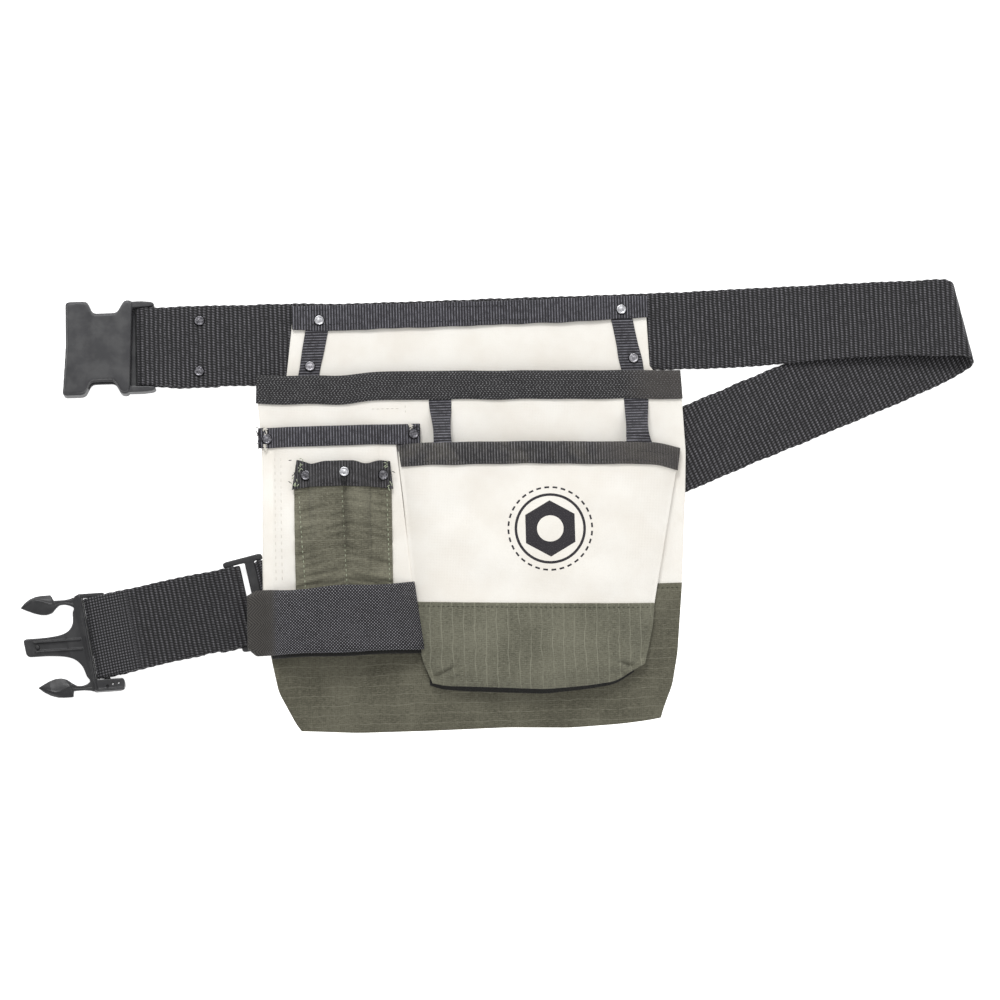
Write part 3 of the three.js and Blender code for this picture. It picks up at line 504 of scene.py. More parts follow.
def slack(x, y, *waves):
    """Soft wrinkles: the sum of soft_noise fields, each (height, size, seed)."""
    return sum(height * soft_noise(x, y, size, seed) for height, size, seed in waves)


def above(height, lift):
    """The surface that lies `lift` mm above another."""
    return lambda x, y: height(x, y) + lift


def back_height(x, y):
    """The back panel's middle: flat, but raised over the slider at the lower left."""
    droop = mix(1, 0.55, smoothstep(-y, 85, 137))
    return 2.9 + 7.4 * smoothstep(-x, 62, 128) * smoothstep(40 - y, 0, 62) * droop


def main_height(x, y):
    """The main pocket's front, swollen between its side seams, with slack folds in the cloth."""
    share = share_of(body_left, body_right, x, y, 7)
    swell = crown(share, 8) * rise((y - BODY_BOTTOM) / (BODY_TOP - BODY_BOTTOM), 5)
    ripples = 0.3 * np.sin(y / 3.6 + 0.9 * soft_noise(x, y, 60, 33)) * smoothstep(-y, 78, 112)
    wrinkle = slack(x, y, (0.6, 55, 31), (0.25, 22, 32))
    return back_height(x, y) + 2 * LAYER + 0.1 + (8 + wrinkle + ripples) * swell


def left_height(x, y):
    """The left pocket's front, swollen between its own seams."""
    swell = crown(share_of(left_edge, constant(-47), x, y, 8), 4) * rise((y + 46) / (55.5 + 46), 4)
    return main_height(x, y) + 2 * LAYER + 0.1 + (4.0 + slack(x, y, (0.4, 34, 41), (0.15, 13, 42))) * swell


def sleeve_height(x, y):
    """The tool sleeve: two channels side by side, with creases that are strongest at the stitches."""
    hump = 0
    for low, high in ((-98.5, -77.6), (-76.2, -61.5)):
        hump = hump + np.sin(math.pi * np.clip((x - low) / (high - low), 0, 1)) ** 0.7
    puckers = 0.35 * soft_noise(x * 2.4, y * 0.5, 14, 51) * smoothstep(y, -34, 8)
    slanted = y + 0.25 * np.abs(x + 76)
    sewn = sum(np.exp(-((x - row) / width) ** 2) for row, width in ((-102, 9), (-76, 8), (-53, 8)))
    fine = 0.5 * soft_noise(x * 0.3, slanted * 1.6, 7, 52) + 0.34 * soft_noise(x * 0.45, slanted * 3.0, 7, 53)
    ripples = fine * (0.55 + 0.6 * sewn)
    return left_height(x, y) + LAYER + 0.2 + ripples + (6.5 + puckers) * hump * rise((y + 44) / 77, 3)


def front_height(x, y):
    """The front pocket: it stands well off the main one, with small darts at its lower corners."""
    share = share_of(front_left, front_right, x, y, 2)
    inside = y - front_bottom(x)
    rounded = np.sqrt(np.clip(1 - (1 - np.clip(inside / 12, 0, 1)) ** 2, 0, 1))
    swell = crown(share, 5) * mix(rise(inside / 156, 4), rounded, 0.65)
    fold = ridge(x, y, (30, -92), (82, -94), 5) - 0.8 * ridge(x, y, (30, -101), (80, -103), 5)
    darts = (ridge(x, y, (-25, -104.5), (-10.5, -97), 1.3)
             + ridge(x, y, (100, -100.6), (89, -97), 1.3)
             - 0.7 * ridge(x, y, (-22, -107), (-9, -100), 1.8)
             - 0.7 * ridge(x, y, (97, -103), (88, -100), 1.8))
    raised = 1.6 * smoothstep(inside, 6, 0) + (11 + slack(x, y, (0.8, 48, 61), (0.3, 19, 62))) * swell
    return main_height(x, y) + 2 * LAYER + 0.1 + raised - 0.5 * fold - 2.0 * darts


# ---- cloth panels ----

def cloth(name, middle, thick, rim, u, v, material, flat, held, rests_on, *nodes, relief=0.0, slot="tape",
          area=None):
    """A cloth piece of the pouch, given by its middle points; the flat size in mm that it was cut to is not
    used.
    """
    mesh = slab_mesh(name, middle, thick, rim, u, v, relief)
    piece = new_object(name, mesh, material, "belt_and_pouch", slot, *nodes)


def panel(name, left, right, low, top, height, material, slot, node, step=2.2, rests_on="back_cloth"):
    """A cloth panel of the pouch between two side lines, from y = low(x) to y = top(x)."""
    shares = with_rim(0, 1, step / 200, 0.004)
    rows = with_rim(0, 1, step / 130, 0.006)
    guess = mix(left(0.0), right(0.0), shares)
    y = mix(low(guess)[None, :], top(guess)[None, :], rows[:, None])
    x = mix(left(y), right(y), shares[None, :])
    y = mix(low(x), top(x), rows[:, None])
    widths = x[:, -1] - x[:, 0]
    area = float(np.sum((widths[1:] + widths[:-1]) / 2 * np.diff(y.mean(axis=1)))) * MM * MM
    size = np.ptp(x), np.ptp(y)
    cloth(name, POUCH(x, y, height(x, y))[:, ::-1], CLOTH, 0.8, y[:, ::-1], x[:, ::-1], material, size,
          "stretched", rests_on, node, slot=slot, area=min(area, float(size[0] * MM * size[1] * MM)))


def build_panels():
    tab_left = through((-137, -105), (-131.7, -109.4), (-111, -120.2), (-92, -124), (-47.4, -129.1),
                       (41, -128.8), (80, -129), (86, -113), (131, -107.6), ease=1.5)
    tab_right = through((-137, 109.5), (-131.5, 114), (-111, 122.6), (-92, 126.5), (-49.8, 130.8), (34, 134),
                        (80, 133), (86, 115.5), (131, 114), ease=1.5)
    panel("back_cloth", tab_left, tab_right, body_bottom, constant(TAB_TOP), back_height, canvas, "canvas",
          "back_panel", rests_on="waist_webbing")
    panel("main_pocket_cloth", body_left, body_right, constant(MAIN_SEAM - 3), lambda x: main_top(x) - 5,
          main_height, canvas, "canvas", "main_pocket_panel", 1.8)
    panel("main_pocket_base_cloth", body_left, body_right, body_bottom, constant(MAIN_SEAM + 0.4),
          above(main_height, OVERLAP), ripstop, "ripstop", "main_pocket_base", 1.4)
    panel("left_pocket_cloth", left_edge, left_far_edge, constant(-58), constant(LEFT_TOP - 5),
          left_height, canvas, "canvas", "left_pocket_panel", 1.4)
    panel("front_pocket_cloth", front_left, front_right, lambda x: front_seam(x) - 3,
          lambda x: front_top(x) - 5, front_height, canvas, "canvas", "front_pocket_panel", 1.6)
    panel("front_pocket_base_cloth", front_left, front_right, front_bottom, lambda x: front_seam(x) + 0.4,
          above(front_height, OVERLAP), ripstop_upright, "ripstop", "front_pocket_base", 1.0)
    panel("tool_sleeve_cloth", sleeve_left, sleeve_right, constant(-57), constant(31),
          sleeve_height, ripstop_fine, "ripstop", "tool_sleeve", 0.7, rests_on="left_pocket_cloth")
    build_front_underfold_shadow()


def build_front_underfold_shadow():
    """The front pocket's folded-under lower edge, which shows beneath it as a near-black strip: the fold is
    the pocket's own, and its colour is painted shadow under the overhang.
    """
    low, high, cut_width, tucked = -27, 99, 11, 7.4
    x, share = np.meshgrid(with_rim(low, high, 0.6, 0.6), with_rim(0, 1, 0.06, 0.05), indexing="ij")
    width = np.interp(x, [low, -20, 0, 40, 80, high], [1.8, 2.6, 3.4, 3.2, 2.3, 1.4])
    y = front_bottom(x) + tucked - (width + tucked) * share
    out = np.clip((front_bottom(x) + 1.2 - y) / (width + 1.2), 0, 1)
    z = mix(front_height(x, np.maximum(y, front_bottom(x) + 0.5)) - 1.3, main_height(x, y) + 2.1, out)
    # Its near-black colour is painted shadow beneath the pocket's overhang.
    cloth("front_pocket_underfold_shadow", POUCH(x, y, z), 0.8, 0.4, x, share * cut_width, painted_shadow_cloth,
          (high - low, cut_width), "folded", "main_pocket_base_cloth")


# ---- tapes ----

TAPE_PITCH = 1.75
TAPE_THICK = 0.95
TAPE_RIM = 0.45


def tape_rib(along, side, half):
    """Relief of a ribbed tape: ribs across it, with a smooth woven edge at both sides."""
    drift = 0.2 * soft_noise(along, side, 9, 79)
    rib = np.abs(np.sin(math.pi * (along + drift) / TAPE_PITCH)) ** 0.7
    edge = smoothstep(np.abs(side), half - 1.6, half - 1.1)
    return 0.2 * (mix(rib, 0.8, edge) - 0.6)


def finer_start(line, travelled, extra):
    """The line with its first point replaced by the ones at these distances, for a rounded border."""
    heads = np.stack([np.interp(extra, travelled, line[:, k]) for k in (0, 1)], 1)
    return np.concatenate([heads, line[1:]]), np.concatenate([extra, travelled[1:]])


def binding(name, left, right, top, width, height, material, node, seed, slants=(0, 0)):
    """A tape folded over a panel's upper edge: front face, rounded fold and back face.

    `top` gives its upper edge, and `slants` how far each end's lower corner leans to the right.
    """
    reach = LAYER + 0.5
    fold = [[-width, LAYER], [-reach, LAYER]]
    fold += [[-reach + LAYER * math.sin(a), LAYER * math.cos(a)] for a in np.linspace(0, math.pi, 11)[1:-1]]
    fold += [[-reach, -LAYER], [-(width - 3), -LAYER]]
    section, travelled = finer_start(*resample(fold, 0.7), np.array([0, 0.09, 0.27, 0.5]))
    xs = with_rim(left, right, TAPE_PITCH / 5, 0.7)
    wobble = 0.25 * soft_noise(xs, 0 * xs, 16, seed)
    low = section[None, :, 0] < -width / 2
    y = top(xs)[:, None] + section[None, :, 0] + wobble[:, None] * np.where(low, 1, 0.5)
    lean = mix(slants[0], slants[1], (xs - left) / (right - left))
    x = xs[:, None] - lean[:, None] * section[None, :, 0] / width
    base = height(x, np.minimum(y, top(xs)[:, None] - CLOTH))
    middle = POUCH(x, y, base + section[None, :, 1] + 0.12 * soft_noise(x, y, 10, seed + 500))
    side = np.broadcast_to(travelled[None, :], y.shape)
    cloth(name, middle, TAPE_THICK, TAPE_RIM, x, side, material, (right - left, travelled[-1]), "folded",
          "back_cloth", node, relief=tape_rib(x, side - width / 2, width / 2))


def ribbon(name, ends, low, high, height, node, seed, upright=True):
    """A flat tape between two edge lines; it runs down the pouch, or across it when not upright."""
    along, across = np.meshgrid(with_rim(*ends, TAPE_PITCH / 5, 0.5), with_rim(0, 1, 0.06, 0.035),
                                indexing="ij")
    edge_noise = 0.2 * soft_noise(along, 0 * along, 11, seed) * (across - 0.5) * 2
    side = mix(low(along), high(along), across) + edge_noise
    x, y = (side, along) if upright else (along, side)
    width = float(np.mean(high(along) - low(along)))
    flat_side = across * width
    middle = POUCH(x, y, height(x, y) + 0.12 * soft_noise(along, side, 12, seed + 1))
    relief = tape_rib(along, flat_side - width / 2, width / 2)
    if upright:
        middle, along, flat_side, relief = middle[::-1], along[::-1], flat_side[::-1], relief[::-1]
    cloth(name, middle, TAPE_THICK, TAPE_RIM, along, flat_side, tape_cloth, (width, ends[1] - ends[0]),
          "laid", "back_cloth", node, relief=relief)


def strap_rise(middle):
    """The height of a strap that climbs from the main pocket's tape to the front pocket's."""
    low = float(main_height(np.array(middle), np.array(66.0))) + LAYER
    high = float(front_height(np.array(middle), np.array(40.0))) + 0.2

    def rising(x, y):
        bridge = np.interp(-y, [-66, -60, -46, -40], [low, low + 1.4, high, high - 0.8])
        tucked = mix(bridge, main_height(x, y) + LAYER / 2, smoothstep(y, 63, 68))
        return mix(tucked, front_height(x, np.minimum(y, 40)) + LAYER / 2, smoothstep(-y, -45, -41))

    return rising


def build_tapes():
    on_tab = float(back_height(0.0, 88.0)) + LAYER
    on_side = constant(on_tab - 0.3)
    side_ends = (83, 121)
    ribbon("side_tape_left_cloth", side_ends, through((83, -106.2), (121, -99.8)),
           through((83, -93.3), (121, -84.9)), lambda x, y: on_side(x), "side_tape_left", 82)
    ribbon("side_tape_right_cloth", side_ends, through((83, 98.0), (121, 91.9)),
           through((83, 112.4), (121, 105.2)), lambda x, y: on_side(x), "side_tape_right", 83)
    ribbon("top_tape_cloth", (-108.6, 115.2),
           through((-110, 117.6), (-84.2, 116.5), (5.9, 117.6), (59.7, 118.1), (116, 120.2)),
           through((-110, 133.0), (-88.8, 132.8), (6.2, 132.9), (58.8, 133.4), (93.2, 134.4), (116, 133.6)),
           lambda x, y: on_tab + 0.7 + 0.3 * soft_noise(x, y, 40, 80), "top_tape", 81, upright=False)
    binding("main_pocket_binding", -131.4, 134.4, main_top, 19.0, main_height, tape_twill, "main_pocket_tape",
            84, slants=(-0.6, 0.8))
    binding("left_pocket_binding", -130.8, -29.4, constant(LEFT_TOP), 13.4, left_height, tape_cloth,
            "left_pocket_tape", 86)
    ribbon("strap_left_cloth", (40, 76), through((40, -21.3), (50, -21.0), (66, -23.4), (76, -23.4)),
           through((40, -9.6), (50, -10.4), (66, -9.8), (76, -9.8)), strap_rise(-16.0),
           "pocket_strap_left", 88)
    ribbon("strap_right_cloth", (36, 76), through((36, 98.4), (50, 98.9), (66, 98.3), (76, 98.3)),
           through((36, 116), (44, 112.4), (50, 112), (66, 113.4), (76, 113.4)), strap_rise(106.0),
           "pocket_strap_right", 89)
    binding("front_pocket_binding", -43.6, 132.6, front_top, 14.8, front_height, tape_worn,
            "front_pocket_tape", 87, slants=(1.9, -2.2))
    build_sleeve_tape()


def build_sleeve_tape():
    """The sleeve's tape, which bridges the seam between the two channels with hardly a dip."""
    width = 18
    top = through((-111, 34.6), (-105.5, 33.6), (-97, 31.4), (-90, 33.2), (-77.6, 33.3), (-70, 33.2),
                  (-63.9, 30.7), (-55, 33.0), (-46, 32.0), ease=2)
    bottom = through((-111, 15.4), (-97.5, 17.2), (-78, 17.3), (-61.4, 16.4), (-46, 14.4), ease=2)
    x, share = np.meshgrid(with_rim(-109.6, -46.9, TAPE_PITCH / 5, 0.6), with_rim(0, 1, 0.045, 0.03),
                           indexing="ij")
    y = mix(bottom(x), top(x), share)
    x = x + mix(0, 3.2, share) * smoothstep(-x, 95, 110) - mix(0, 1.5, share) * smoothstep(x, -60, -47)
    on_sleeve = np.minimum(y, SLEEVE_TOP)
    sewn = sleeve_height(np.clip(x, -108, -48.5), on_sleeve)
    bulge = np.sin(math.pi * np.clip((x + 98.5) / 37, 0, 1)) ** 0.45 - 0.1 * np.exp(-((x + 77) / 3.5) ** 2)
    bridge = np.maximum(left_height(x, on_sleeve) + LAYER + 0.2 + 6.5 * bulge, sewn)
    z = sewn + (bridge - sewn) * smoothstep(share, 0.0, 0.45)
    z = z + LAYER + 0.25 * soft_noise(x, y, 9, 92)
    across = share * width
    cloth("sleeve_tape_cloth", POUCH(x, y, z), TAPE_THICK, TAPE_RIM, x, across, tape_dark, (62.7, 18.5),
          "stretched", "tool_sleeve_cloth", "tool_sleeve_tape",
          relief=tape_rib(x, across - width / 2, width / 2))


LOOP_HALF = 21.0


def build_hammer_loop():
    """A doubled strip that stands off the pouch, sewn down at its right and folded under at its left."""
    thick, bend = 1.6, 1.3
    right, left, last = -32.6, -139.3, -128.0
    middle_line = through((-145, -69), (-110.9, -67.6), (-84, -65.9), (-45, -65.3), (-30, -65.2), ease=5)

    def standing(x):
        share = np.clip((x - last) / (right - last), 0, 1)
        ground = max(float(np.max(left_height(np.array([x]), np.array([y])))) for y in (-46.0, -66.0, -86.0))
        return ground + LAYER + 0.4 + 10.5 * crown(share, 4)

    xs = np.concatenate([np.linspace(right, last, 40), [-133.0]])
    points = [[x, standing(max(x, last))] for x in xs]
    end = standing(last)
    centre = left + thick / 2 + bend
    points += [[centre + dx, z] for dx, z in half_turn(0, end - bend, bend, -1)]
    points += [[-130.5, end - 2 * bend]]
    line, travelled = finer_start(*resample(points, 0.6), np.array([0, 0.09, 0.27]))

    def strip(name, stations, lengths, sides, drop, material, thickness, *nodes):
        side = np.broadcast_to(sides[None, :], (len(stations), len(sides)))
        along = np.broadcast_to(lengths[:, None], side.shape)
        x = stations[:, :1] + 2.6 * (-side / LOOP_HALF) * smoothstep(stations[:, :1], -60, right)
        corner = np.where(side < 0, 4.6, 2.6) * smoothstep(-x, 132.5, 139.3)
        near_edge = smoothstep(np.abs(side), LOOP_HALF - 8, LOOP_HALF)
        ripple = 0.4 * soft_noise(along, 0 * along, 26, 101) * near_edge
        raised = 1.6 * smoothstep(-x, 50, 125) * smoothstep(-side, 5, LOOP_HALF)
        y = middle_line(stations[:, :1]) + side + (ripple - corner * near_edge) * np.sign(side) + raised
        roll = -1.4 * smoothstep(np.abs(side), LOOP_HALF - 4.5, LOOP_HALF) ** 2
        z = stations[:, 1:2] + roll + 0.45 * soft_noise(along, side, 30, 102) - drop
        weave = 0.09 * np.sin(2 * math.pi * (along + side) / 1.9) * np.sin(2 * math.pi * (along - side) / 1.9)
        cloth(name, POUCH(x, y, z), thickness, 0.7, along, side, material, (np.ptp(sides), np.ptp(lengths)),
              "stretched", "left_pocket_cloth", *nodes, relief=weave)

    strip("hammer_loop_cloth", line, travelled, with_rim(-LOOP_HALF, LOOP_HALF, 1.0, 0.8), 0, loop_cloth,
          thick, "hammer_loop")
    ahead = line[:, 0] > last + 4
    behind = with_rim(-LOOP_HALF - 2.4, LOOP_HALF - 5, 2.0, 0.8)
    # This back layer peeks out below the loop's lower edge in near-black cloth: painted shadow under the
    # loop.
    strip("hammer_loop_back_painted_shadow", line[ahead], travelled[ahead], behind, 2.2, painted_shadow_cloth, 1.2)


# ---- stitches, rivets and the printed mark ----

def capsule_parts(centre, direction, length, radius):
    """Points and faces of one stitch: a short thread bent down into the cloth at both ends."""
    rings, around = 6, 6
    normal = UP - direction * direction[2]
    normal /= np.linalg.norm(normal)
    side = np.cross(normal, direction)
    points = []
    for t in (i / (rings - 1) * 2 - 1 for i in range(rings)):
        swell = radius * max(0.25, math.sqrt(max(0, 1 - t ** 4)))
        middle = centre + direction * (t * length / 2) + normal * (radius * (1 - 1.4 * t * t))
        for k in range(around):
            a = 2 * math.pi * k / around
            points.append(middle + side * (swell * math.cos(a)) + normal * (swell * math.sin(a)))
    return points, tube_faces(rings, around)


def stitch_rows(name, rows, height, material, slot="tape", pitch=2.7, radius=0.2, share=0.62):
    """Stitches along each row of (x, y) points on the surface height(x, y), as one piece."""
    stitches = []
    for row in rows:
        line, travelled = resample(np.hstack([row, np.zeros((len(row), 1))]), 0.5)
        for k in range(int(travelled[-1] // pitch)):
            at = (k + 0.5) * pitch
            ends = [at - pitch * share / 2, at + pitch * share / 2]
            x, y = (np.interp(ends, travelled, line[:, axis]) for axis in (0, 1))
            tips = POUCH(x, y, height(x, y))
            direction = (tips[1] - tips[0]) / np.linalg.norm(tips[1] - tips[0])
            stitches.append(capsule_parts(tips.mean(axis=0), direction, pitch * share, radius))
    new_object(name, mesh_from(name, *joined(stitches)), material, "belt_and_pouch", slot)


def line_at(x, low, high, count=30):
    y = np.linspace(low, high, count)
    x = x(y) if callable(x) else np.full(count, float(x))
    return np.stack([x, y], 1)


def row_at(y, low, high, count=60):
    """The same as line_at, but across the pouch."""
    return line_at(y, low, high, count)[:, ::-1]


def build_stitches():
    face = CLOTH / 2
    on_tape = LAYER + 0.46
    on_sleeve = LAYER + 0.45
    tab = constant(float(back_height(0.0, 88.0)) + 1.1 + LAYER)
    sleeve_lines = [line_at(through((-56, -101.8), (14, -105.4)), -56, 14),
                    line_at(through((-56, -76.4), (24, -78.8)), -56, 17),
                    line_at(through((-56, -50.2), (14, -50.9)), -56, 14)]
    stitch_rows("stitches_sleeve", sleeve_lines, above(sleeve_height, face), thread_green,
                "ripstop", 3.1, 0.28, 0.6)
    stitch_rows("stitches_left_pocket", [line_at(-120.5, -42, 41), line_at(-116.6, -42, 41)],
                above(left_height, face), thread_white, "canvas", 4.4, 0.22)
    stitch_rows("stitches_front_seam", [row_at(lambda x: front_seam(x) - 2.2, -34, 111)],
                above(front_height, OVERLAP + face), thread_olive, "ripstop", 3.0, 0.26)
    stitch_rows("stitches_main_seam", [row_at(MAIN_SEAM - 2.4, 114, 129)],
                above(main_height, OVERLAP + face), thread_olive, "ripstop", 3.0, 0.24)
    stitch_rows("stitches_pocket_edge", [line_at(-38.4, 62, 70, 10), row_at(65.5, -60, -40, 20)],
                above(main_height, face), thread_white, "canvas", 3.0, 0.18)
    stitch_rows("stitches_main_tape", [row_at(lambda x: main_top(x) - 17.2, -129, 132)],
                above(main_height, on_tape), thread_black)
    stitch_rows("stitches_front_tape", [row_at(lambda x: front_top(x) - 12.4, -40, 129),
                                        row_at(lambda x: front_top(x) - 6.6, 104, 129)],
                above(front_height, on_tape), thread_black)
    top_rows = [row_at(120.8, -105, 108), row_at(130.0, -105, 111), line_at(110.5, 122, 131, 12),
                line_at(101.8, 121, 132, 12), line_at(-103.5, 119, 131, 12)]
    stitch_rows("stitches_top_tape", top_rows, lambda x, y: tab(x), thread_black)
    stitch_rows("stitches_left_tape", [row_at(44.6, -117, -42)], above(left_height, on_tape),
                thread_black)
    stitch_rows("stitches_sleeve_tape", [row_at(19.0, -97, -58), line_at(-77.8, 17.5, 33, 10)],
                lambda x, y: sleeve_height(x, np.minimum(y, SLEEVE_TOP)) + on_sleeve, thread_black)
    build_loose_threads()


def build_loose_threads():
    """Frayed thread ends at the tapes' raw ends."""
    rng = np.random.default_rng(7)

    def tufts(name, spots, height, material, longest, radius):
        threads = []
        for x, y, count, width in spots:
            for _ in range(count):
                at_x, at_y = x + rng.normal(0, width / 2), y + rng.normal(0, width)
                lean = rng.uniform(0, 2 * math.pi)
                direction = np.array([math.cos(lean), math.sin(lean), rng.uniform(-0.2, 0.3)])
                direction /= np.linalg.norm(direction)
                centre = POUCH(at_x, at_y, float(height(np.array(at_x), np.array(at_y))) + 0.3)
                threads.append(capsule_parts(centre, direction, rng.uniform(0.4, 1) * longest, radius))
        new_object(name, mesh_from(name, *joined(threads)), material, "belt_and_pouch", "tape")

    left_tape = above(left_height, LAYER + 0.4)

    def sleeve_tape(x, y):
        return sleeve_height(np.clip(x, -108, -48.5), np.minimum(y, SLEEVE_TOP)) + LAYER + 0.4

    tufts("threads_left_tape_white", [(-126.0, 54.5, 12, 1.4), (-126.4, 43.4, 9, 1.2), (-35.6, 54.2, 8, 1.2)],
          left_tape, thread_white, 3.2, 0.34)
    tufts("threads_left_tape_black", [(-130.0, 53, 7, 2.0), (-130.2, 44, 6, 2.0), (-30.6, 53, 4, 1.4)],
          left_tape, thread_black, 4.2, 0.26)
    tufts("threads_sleeve_green", [(-104.2, 31, 10, 2.0), (-107.4, 19.5, 12, 2.2), (-50.6, 29, 6, 1.6),
                                   (-49.5, 17, 6, 1.6)], sleeve_tape, thread_green, 2.4, 0.28)
    tufts("threads_sleeve_black", [(-108.2, 24, 6, 4.0), (-48.4, 24, 4, 3.6)],
          sleeve_tape, thread_black, 3.2, 0.24)


def lathe(name, profile, dents, seed):
    """The mesh of a turned piece from [radius, height] points in mm, closed and slightly dented."""
    segments = 40
    wobble = np.random.default_rng(seed).normal(0, dents, segments)
    points, flat = [], []
    for radius, height in profile[1:-1]:
        for k in range(segments):
            a = 2 * math.pi * k / segments
            r = radius * (1 + (wobble[k] if radius > 2.2 else 0))
            points.append([r * math.cos(a), r * math.sin(a), height])
            flat.append([radius, height])
    low, high = len(points), len(points) + 1
    faces = tube_faces(len(profile) - 2, segments)[:-2]
    for k in range(segments):
        q = (k + 1) % segments
        faces.append([low, q, k])
        faces.append([high, low - segments + k, low - segments + q])
    ends = [[0, profile[0][1]], [0, profile[-1][1]]]
    points += [[0, *end] for end in ends]
    return mesh_from(name, points, faces, flat + ends)


def drop_on(target, points_mm, lift):
    """Points moved straight down on to a piece's surface, then lifted off it, and the surface's normals."""
    tree = BVHTree.FromObject(target, bpy.context.evaluated_depsgraph_get())
    points, normals = [], []
    for point in points_mm:
        hit, normal = tree.ray_cast(Vector((point[0] * MM, point[1] * MM, 0.1)), Vector((0, 0, -1)))[:2]
        points.append([point[0], point[1], (hit.z / MM if hit else 0) + lift])
        normals.append(normal if normal else Vector((0, 0, 1)))
    return np.array(points), normals


def rivet_profile(depth):
    """A rivet's outline from its flange at -depth, up its shank, to its rolled cap's rim at about 1."""
    return [[0, -depth - 0.5], [2.6, -depth - 0.5], [2.9, -depth - 0.35], [2.9, -depth - 0.1], [2.4, -depth],
            [1.4, -depth], [1.4, -0.3], [3.0, -0.35], [3.35, -0.1], [3.42, 0.2], [3.3, 0.5], [3.0, 0.72],
            [2.6, 0.82], [2.25, 0.76], [2.05, 0.62], [1.7, 0.6], [1.2, 0.7], [0, 0.74]]


def build_rivets():
    """Capped rivets, each set square to the tape or webbing it sits on."""
    bright, grey, dark = (steel_bright, "nickel"), (steel_grey, "dark_metal"), (steel_dark, "dark_metal")
    spots = [
        ("rivet_belt_upper", BELT, 33.9, 16.2, "waist_webbing", dark),
        ("rivet_belt_lower", BELT, 33.0, -16.2, "waist_webbing", dark),
        ("rivet_tab_top_left", POUCH, -91.5, 123.6, "top_tape_cloth", bright),
        ("rivet_tab_top_right", POUCH, 98.7, 125.6, "top_tape_cloth", bright),
        ("rivet_tab_low_left", POUCH, -97.8, 94.4, "side_tape_left_cloth", grey),
        ("rivet_tab_low_right", POUCH, 105.4, 94.4, "side_tape_right_cloth", grey),
        ("rivet_pocket_left", POUCH, -125.2, 48.4, "left_pocket_binding", dark),
        ("rivet_pocket_right", POUCH, -33.5, 49.2, "left_pocket_binding", dark),
        ("rivet_sleeve_left", POUCH, -100.8, 24.8, "sleeve_tape_cloth", dark),
        ("rivet_sleeve_middle", POUCH, -76.7, 25.5, "sleeve_tape_cloth", bright),
        ("rivet_sleeve_right", POUCH, -52.9, 23.7, "sleeve_tape_cloth", dark),
    ]
    for index, (node, place, x, y, beneath, (material, slot)) in enumerate(spots):
        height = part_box(node)[1].z / MM if place is POUCH else 0
        points, normals = drop_on(bpy.data.objects[beneath], [place(x, y, height)], 0.1)
        lean = normals[0].lerp(Vector((0, 0, 1)), 0.35).normalized()
        turn = Vector((0, 0, 1)).rotation_difference(lean).to_matrix().to_4x4()
        mesh = lathe(node + "_cap", rivet_profile(2.2 if place is POUCH else 2.6), 0.02, index)
        mesh.transform(Matrix.Translation(Vector(points[0] * MM)) @ turn)
        new_object(node + "_cap", mesh, material, "belt_and_pouch", slot, node)


def ring_strip(inner, outer, steps, centre, start=0.0, end=2 * math.pi):
    """A flat ring sector between two radius functions of the angle, as points and quads."""
    bands = 5
    points = []
    for a in np.linspace(start, end, steps + 1):
        for b in range(bands + 1):
            r = mix(inner(a), outer(a), b / bands)
            points.append([centre[0] + r * math.cos(a), centre[1] + r * math.sin(a)])
    index = np.arange(len(points)).reshape(steps + 1, bands + 1)
    return points, grid_quads(index)[:, [0, 3, 2, 1]].tolist()


def build_badge():
    """A generic printed mark: a hexagon nut in a ring of dashes, as thin ink on the front pocket."""
    centre = (49.6, -12.9)

    def hexagon(a):
        return 17.6 * math.cos(math.pi / 6) / math.cos((a - math.pi / 6) % (math.pi / 3) - math.pi / 6)

    rings = [ring_strip(constant(8.2), hexagon, 96, centre),
             ring_strip(constant(20.4), constant(22.0), 120, centre)]
    dashes = 32
    for start in (2 * math.pi * k / dashes for k in range(dashes)):
        end = start + math.pi / dashes * 1.15
        rings.append(ring_strip(constant(25.3), constant(26.4), 6, centre, start, end))
    points, faces = joined(rings)
    flat = np.array(points)
    placed = POUCH(flat[:, 0], flat[:, 1], front_height(flat[:, 0], flat[:, 1]))
    lifted, _ = drop_on(bpy.data.objects["front_pocket_cloth"], placed, 0.06)
    new_object("printed_nut", mesh_from("printed_nut", lifted, faces, flat), ink, "belt_and_pouch", "tape")


# ---- moulded hardware ----

def rounded_outline(points, radius, steps=5):
    """A closed outline with each corner rounded; a corner may be [x, y, its own radius]."""
    corners = [np.array(point[:2], float) for point in points]
    out = []
    for i, here in enumerate(corners):
        size = points[i][2] if len(points[i]) > 2 else radius
        to_last = corners[i - 1] - here
        to_next = corners[(i + 1) % len(corners)] - here
        a = min(size, np.linalg.norm(to_last) * 0.45)
        b = min(size, np.linalg.norm(to_next) * 0.45)
        start = here + to_last / np.linalg.norm(to_last) * a
        end = here + to_next / np.linalg.norm(to_next) * b
        for t in (k / steps for k in range(steps + 1)):
            out.append((1 - t) ** 2 * start + 2 * t * (1 - t) * here + t * t * end)
    return np.array(out)


def add_prism(bm, outline, low, high):
    """An upright prism; low and high are heights or functions of x and y."""
    area = np.sum(outline[:, 0] * np.roll(outline[:, 1], -1) - np.roll(outline[:, 0], -1) * outline[:, 1])
    if area < 0:
        outline = outline[::-1]
    bottom = [bm.verts.new((x, y, low(x, y) if callable(low) else low)) for x, y in outline]
    top = [bm.verts.new((x, y, high(x, y) if callable(high) else high)) for x, y in outline]
    bm.faces.new(bottom[::-1])
    bm.faces.new(top)
    for i in range(len(outline)):
        j = (i + 1) % len(outline)
        bm.faces.new((bottom[i], bottom[j], top[j], top[i]))


def prism(points, corner, low, high):
    """A maker of a prism whose upright corners are rounded."""
    outline = rounded_outline(points, corner)
    return lambda bm: add_prism(bm, outline, low, high)


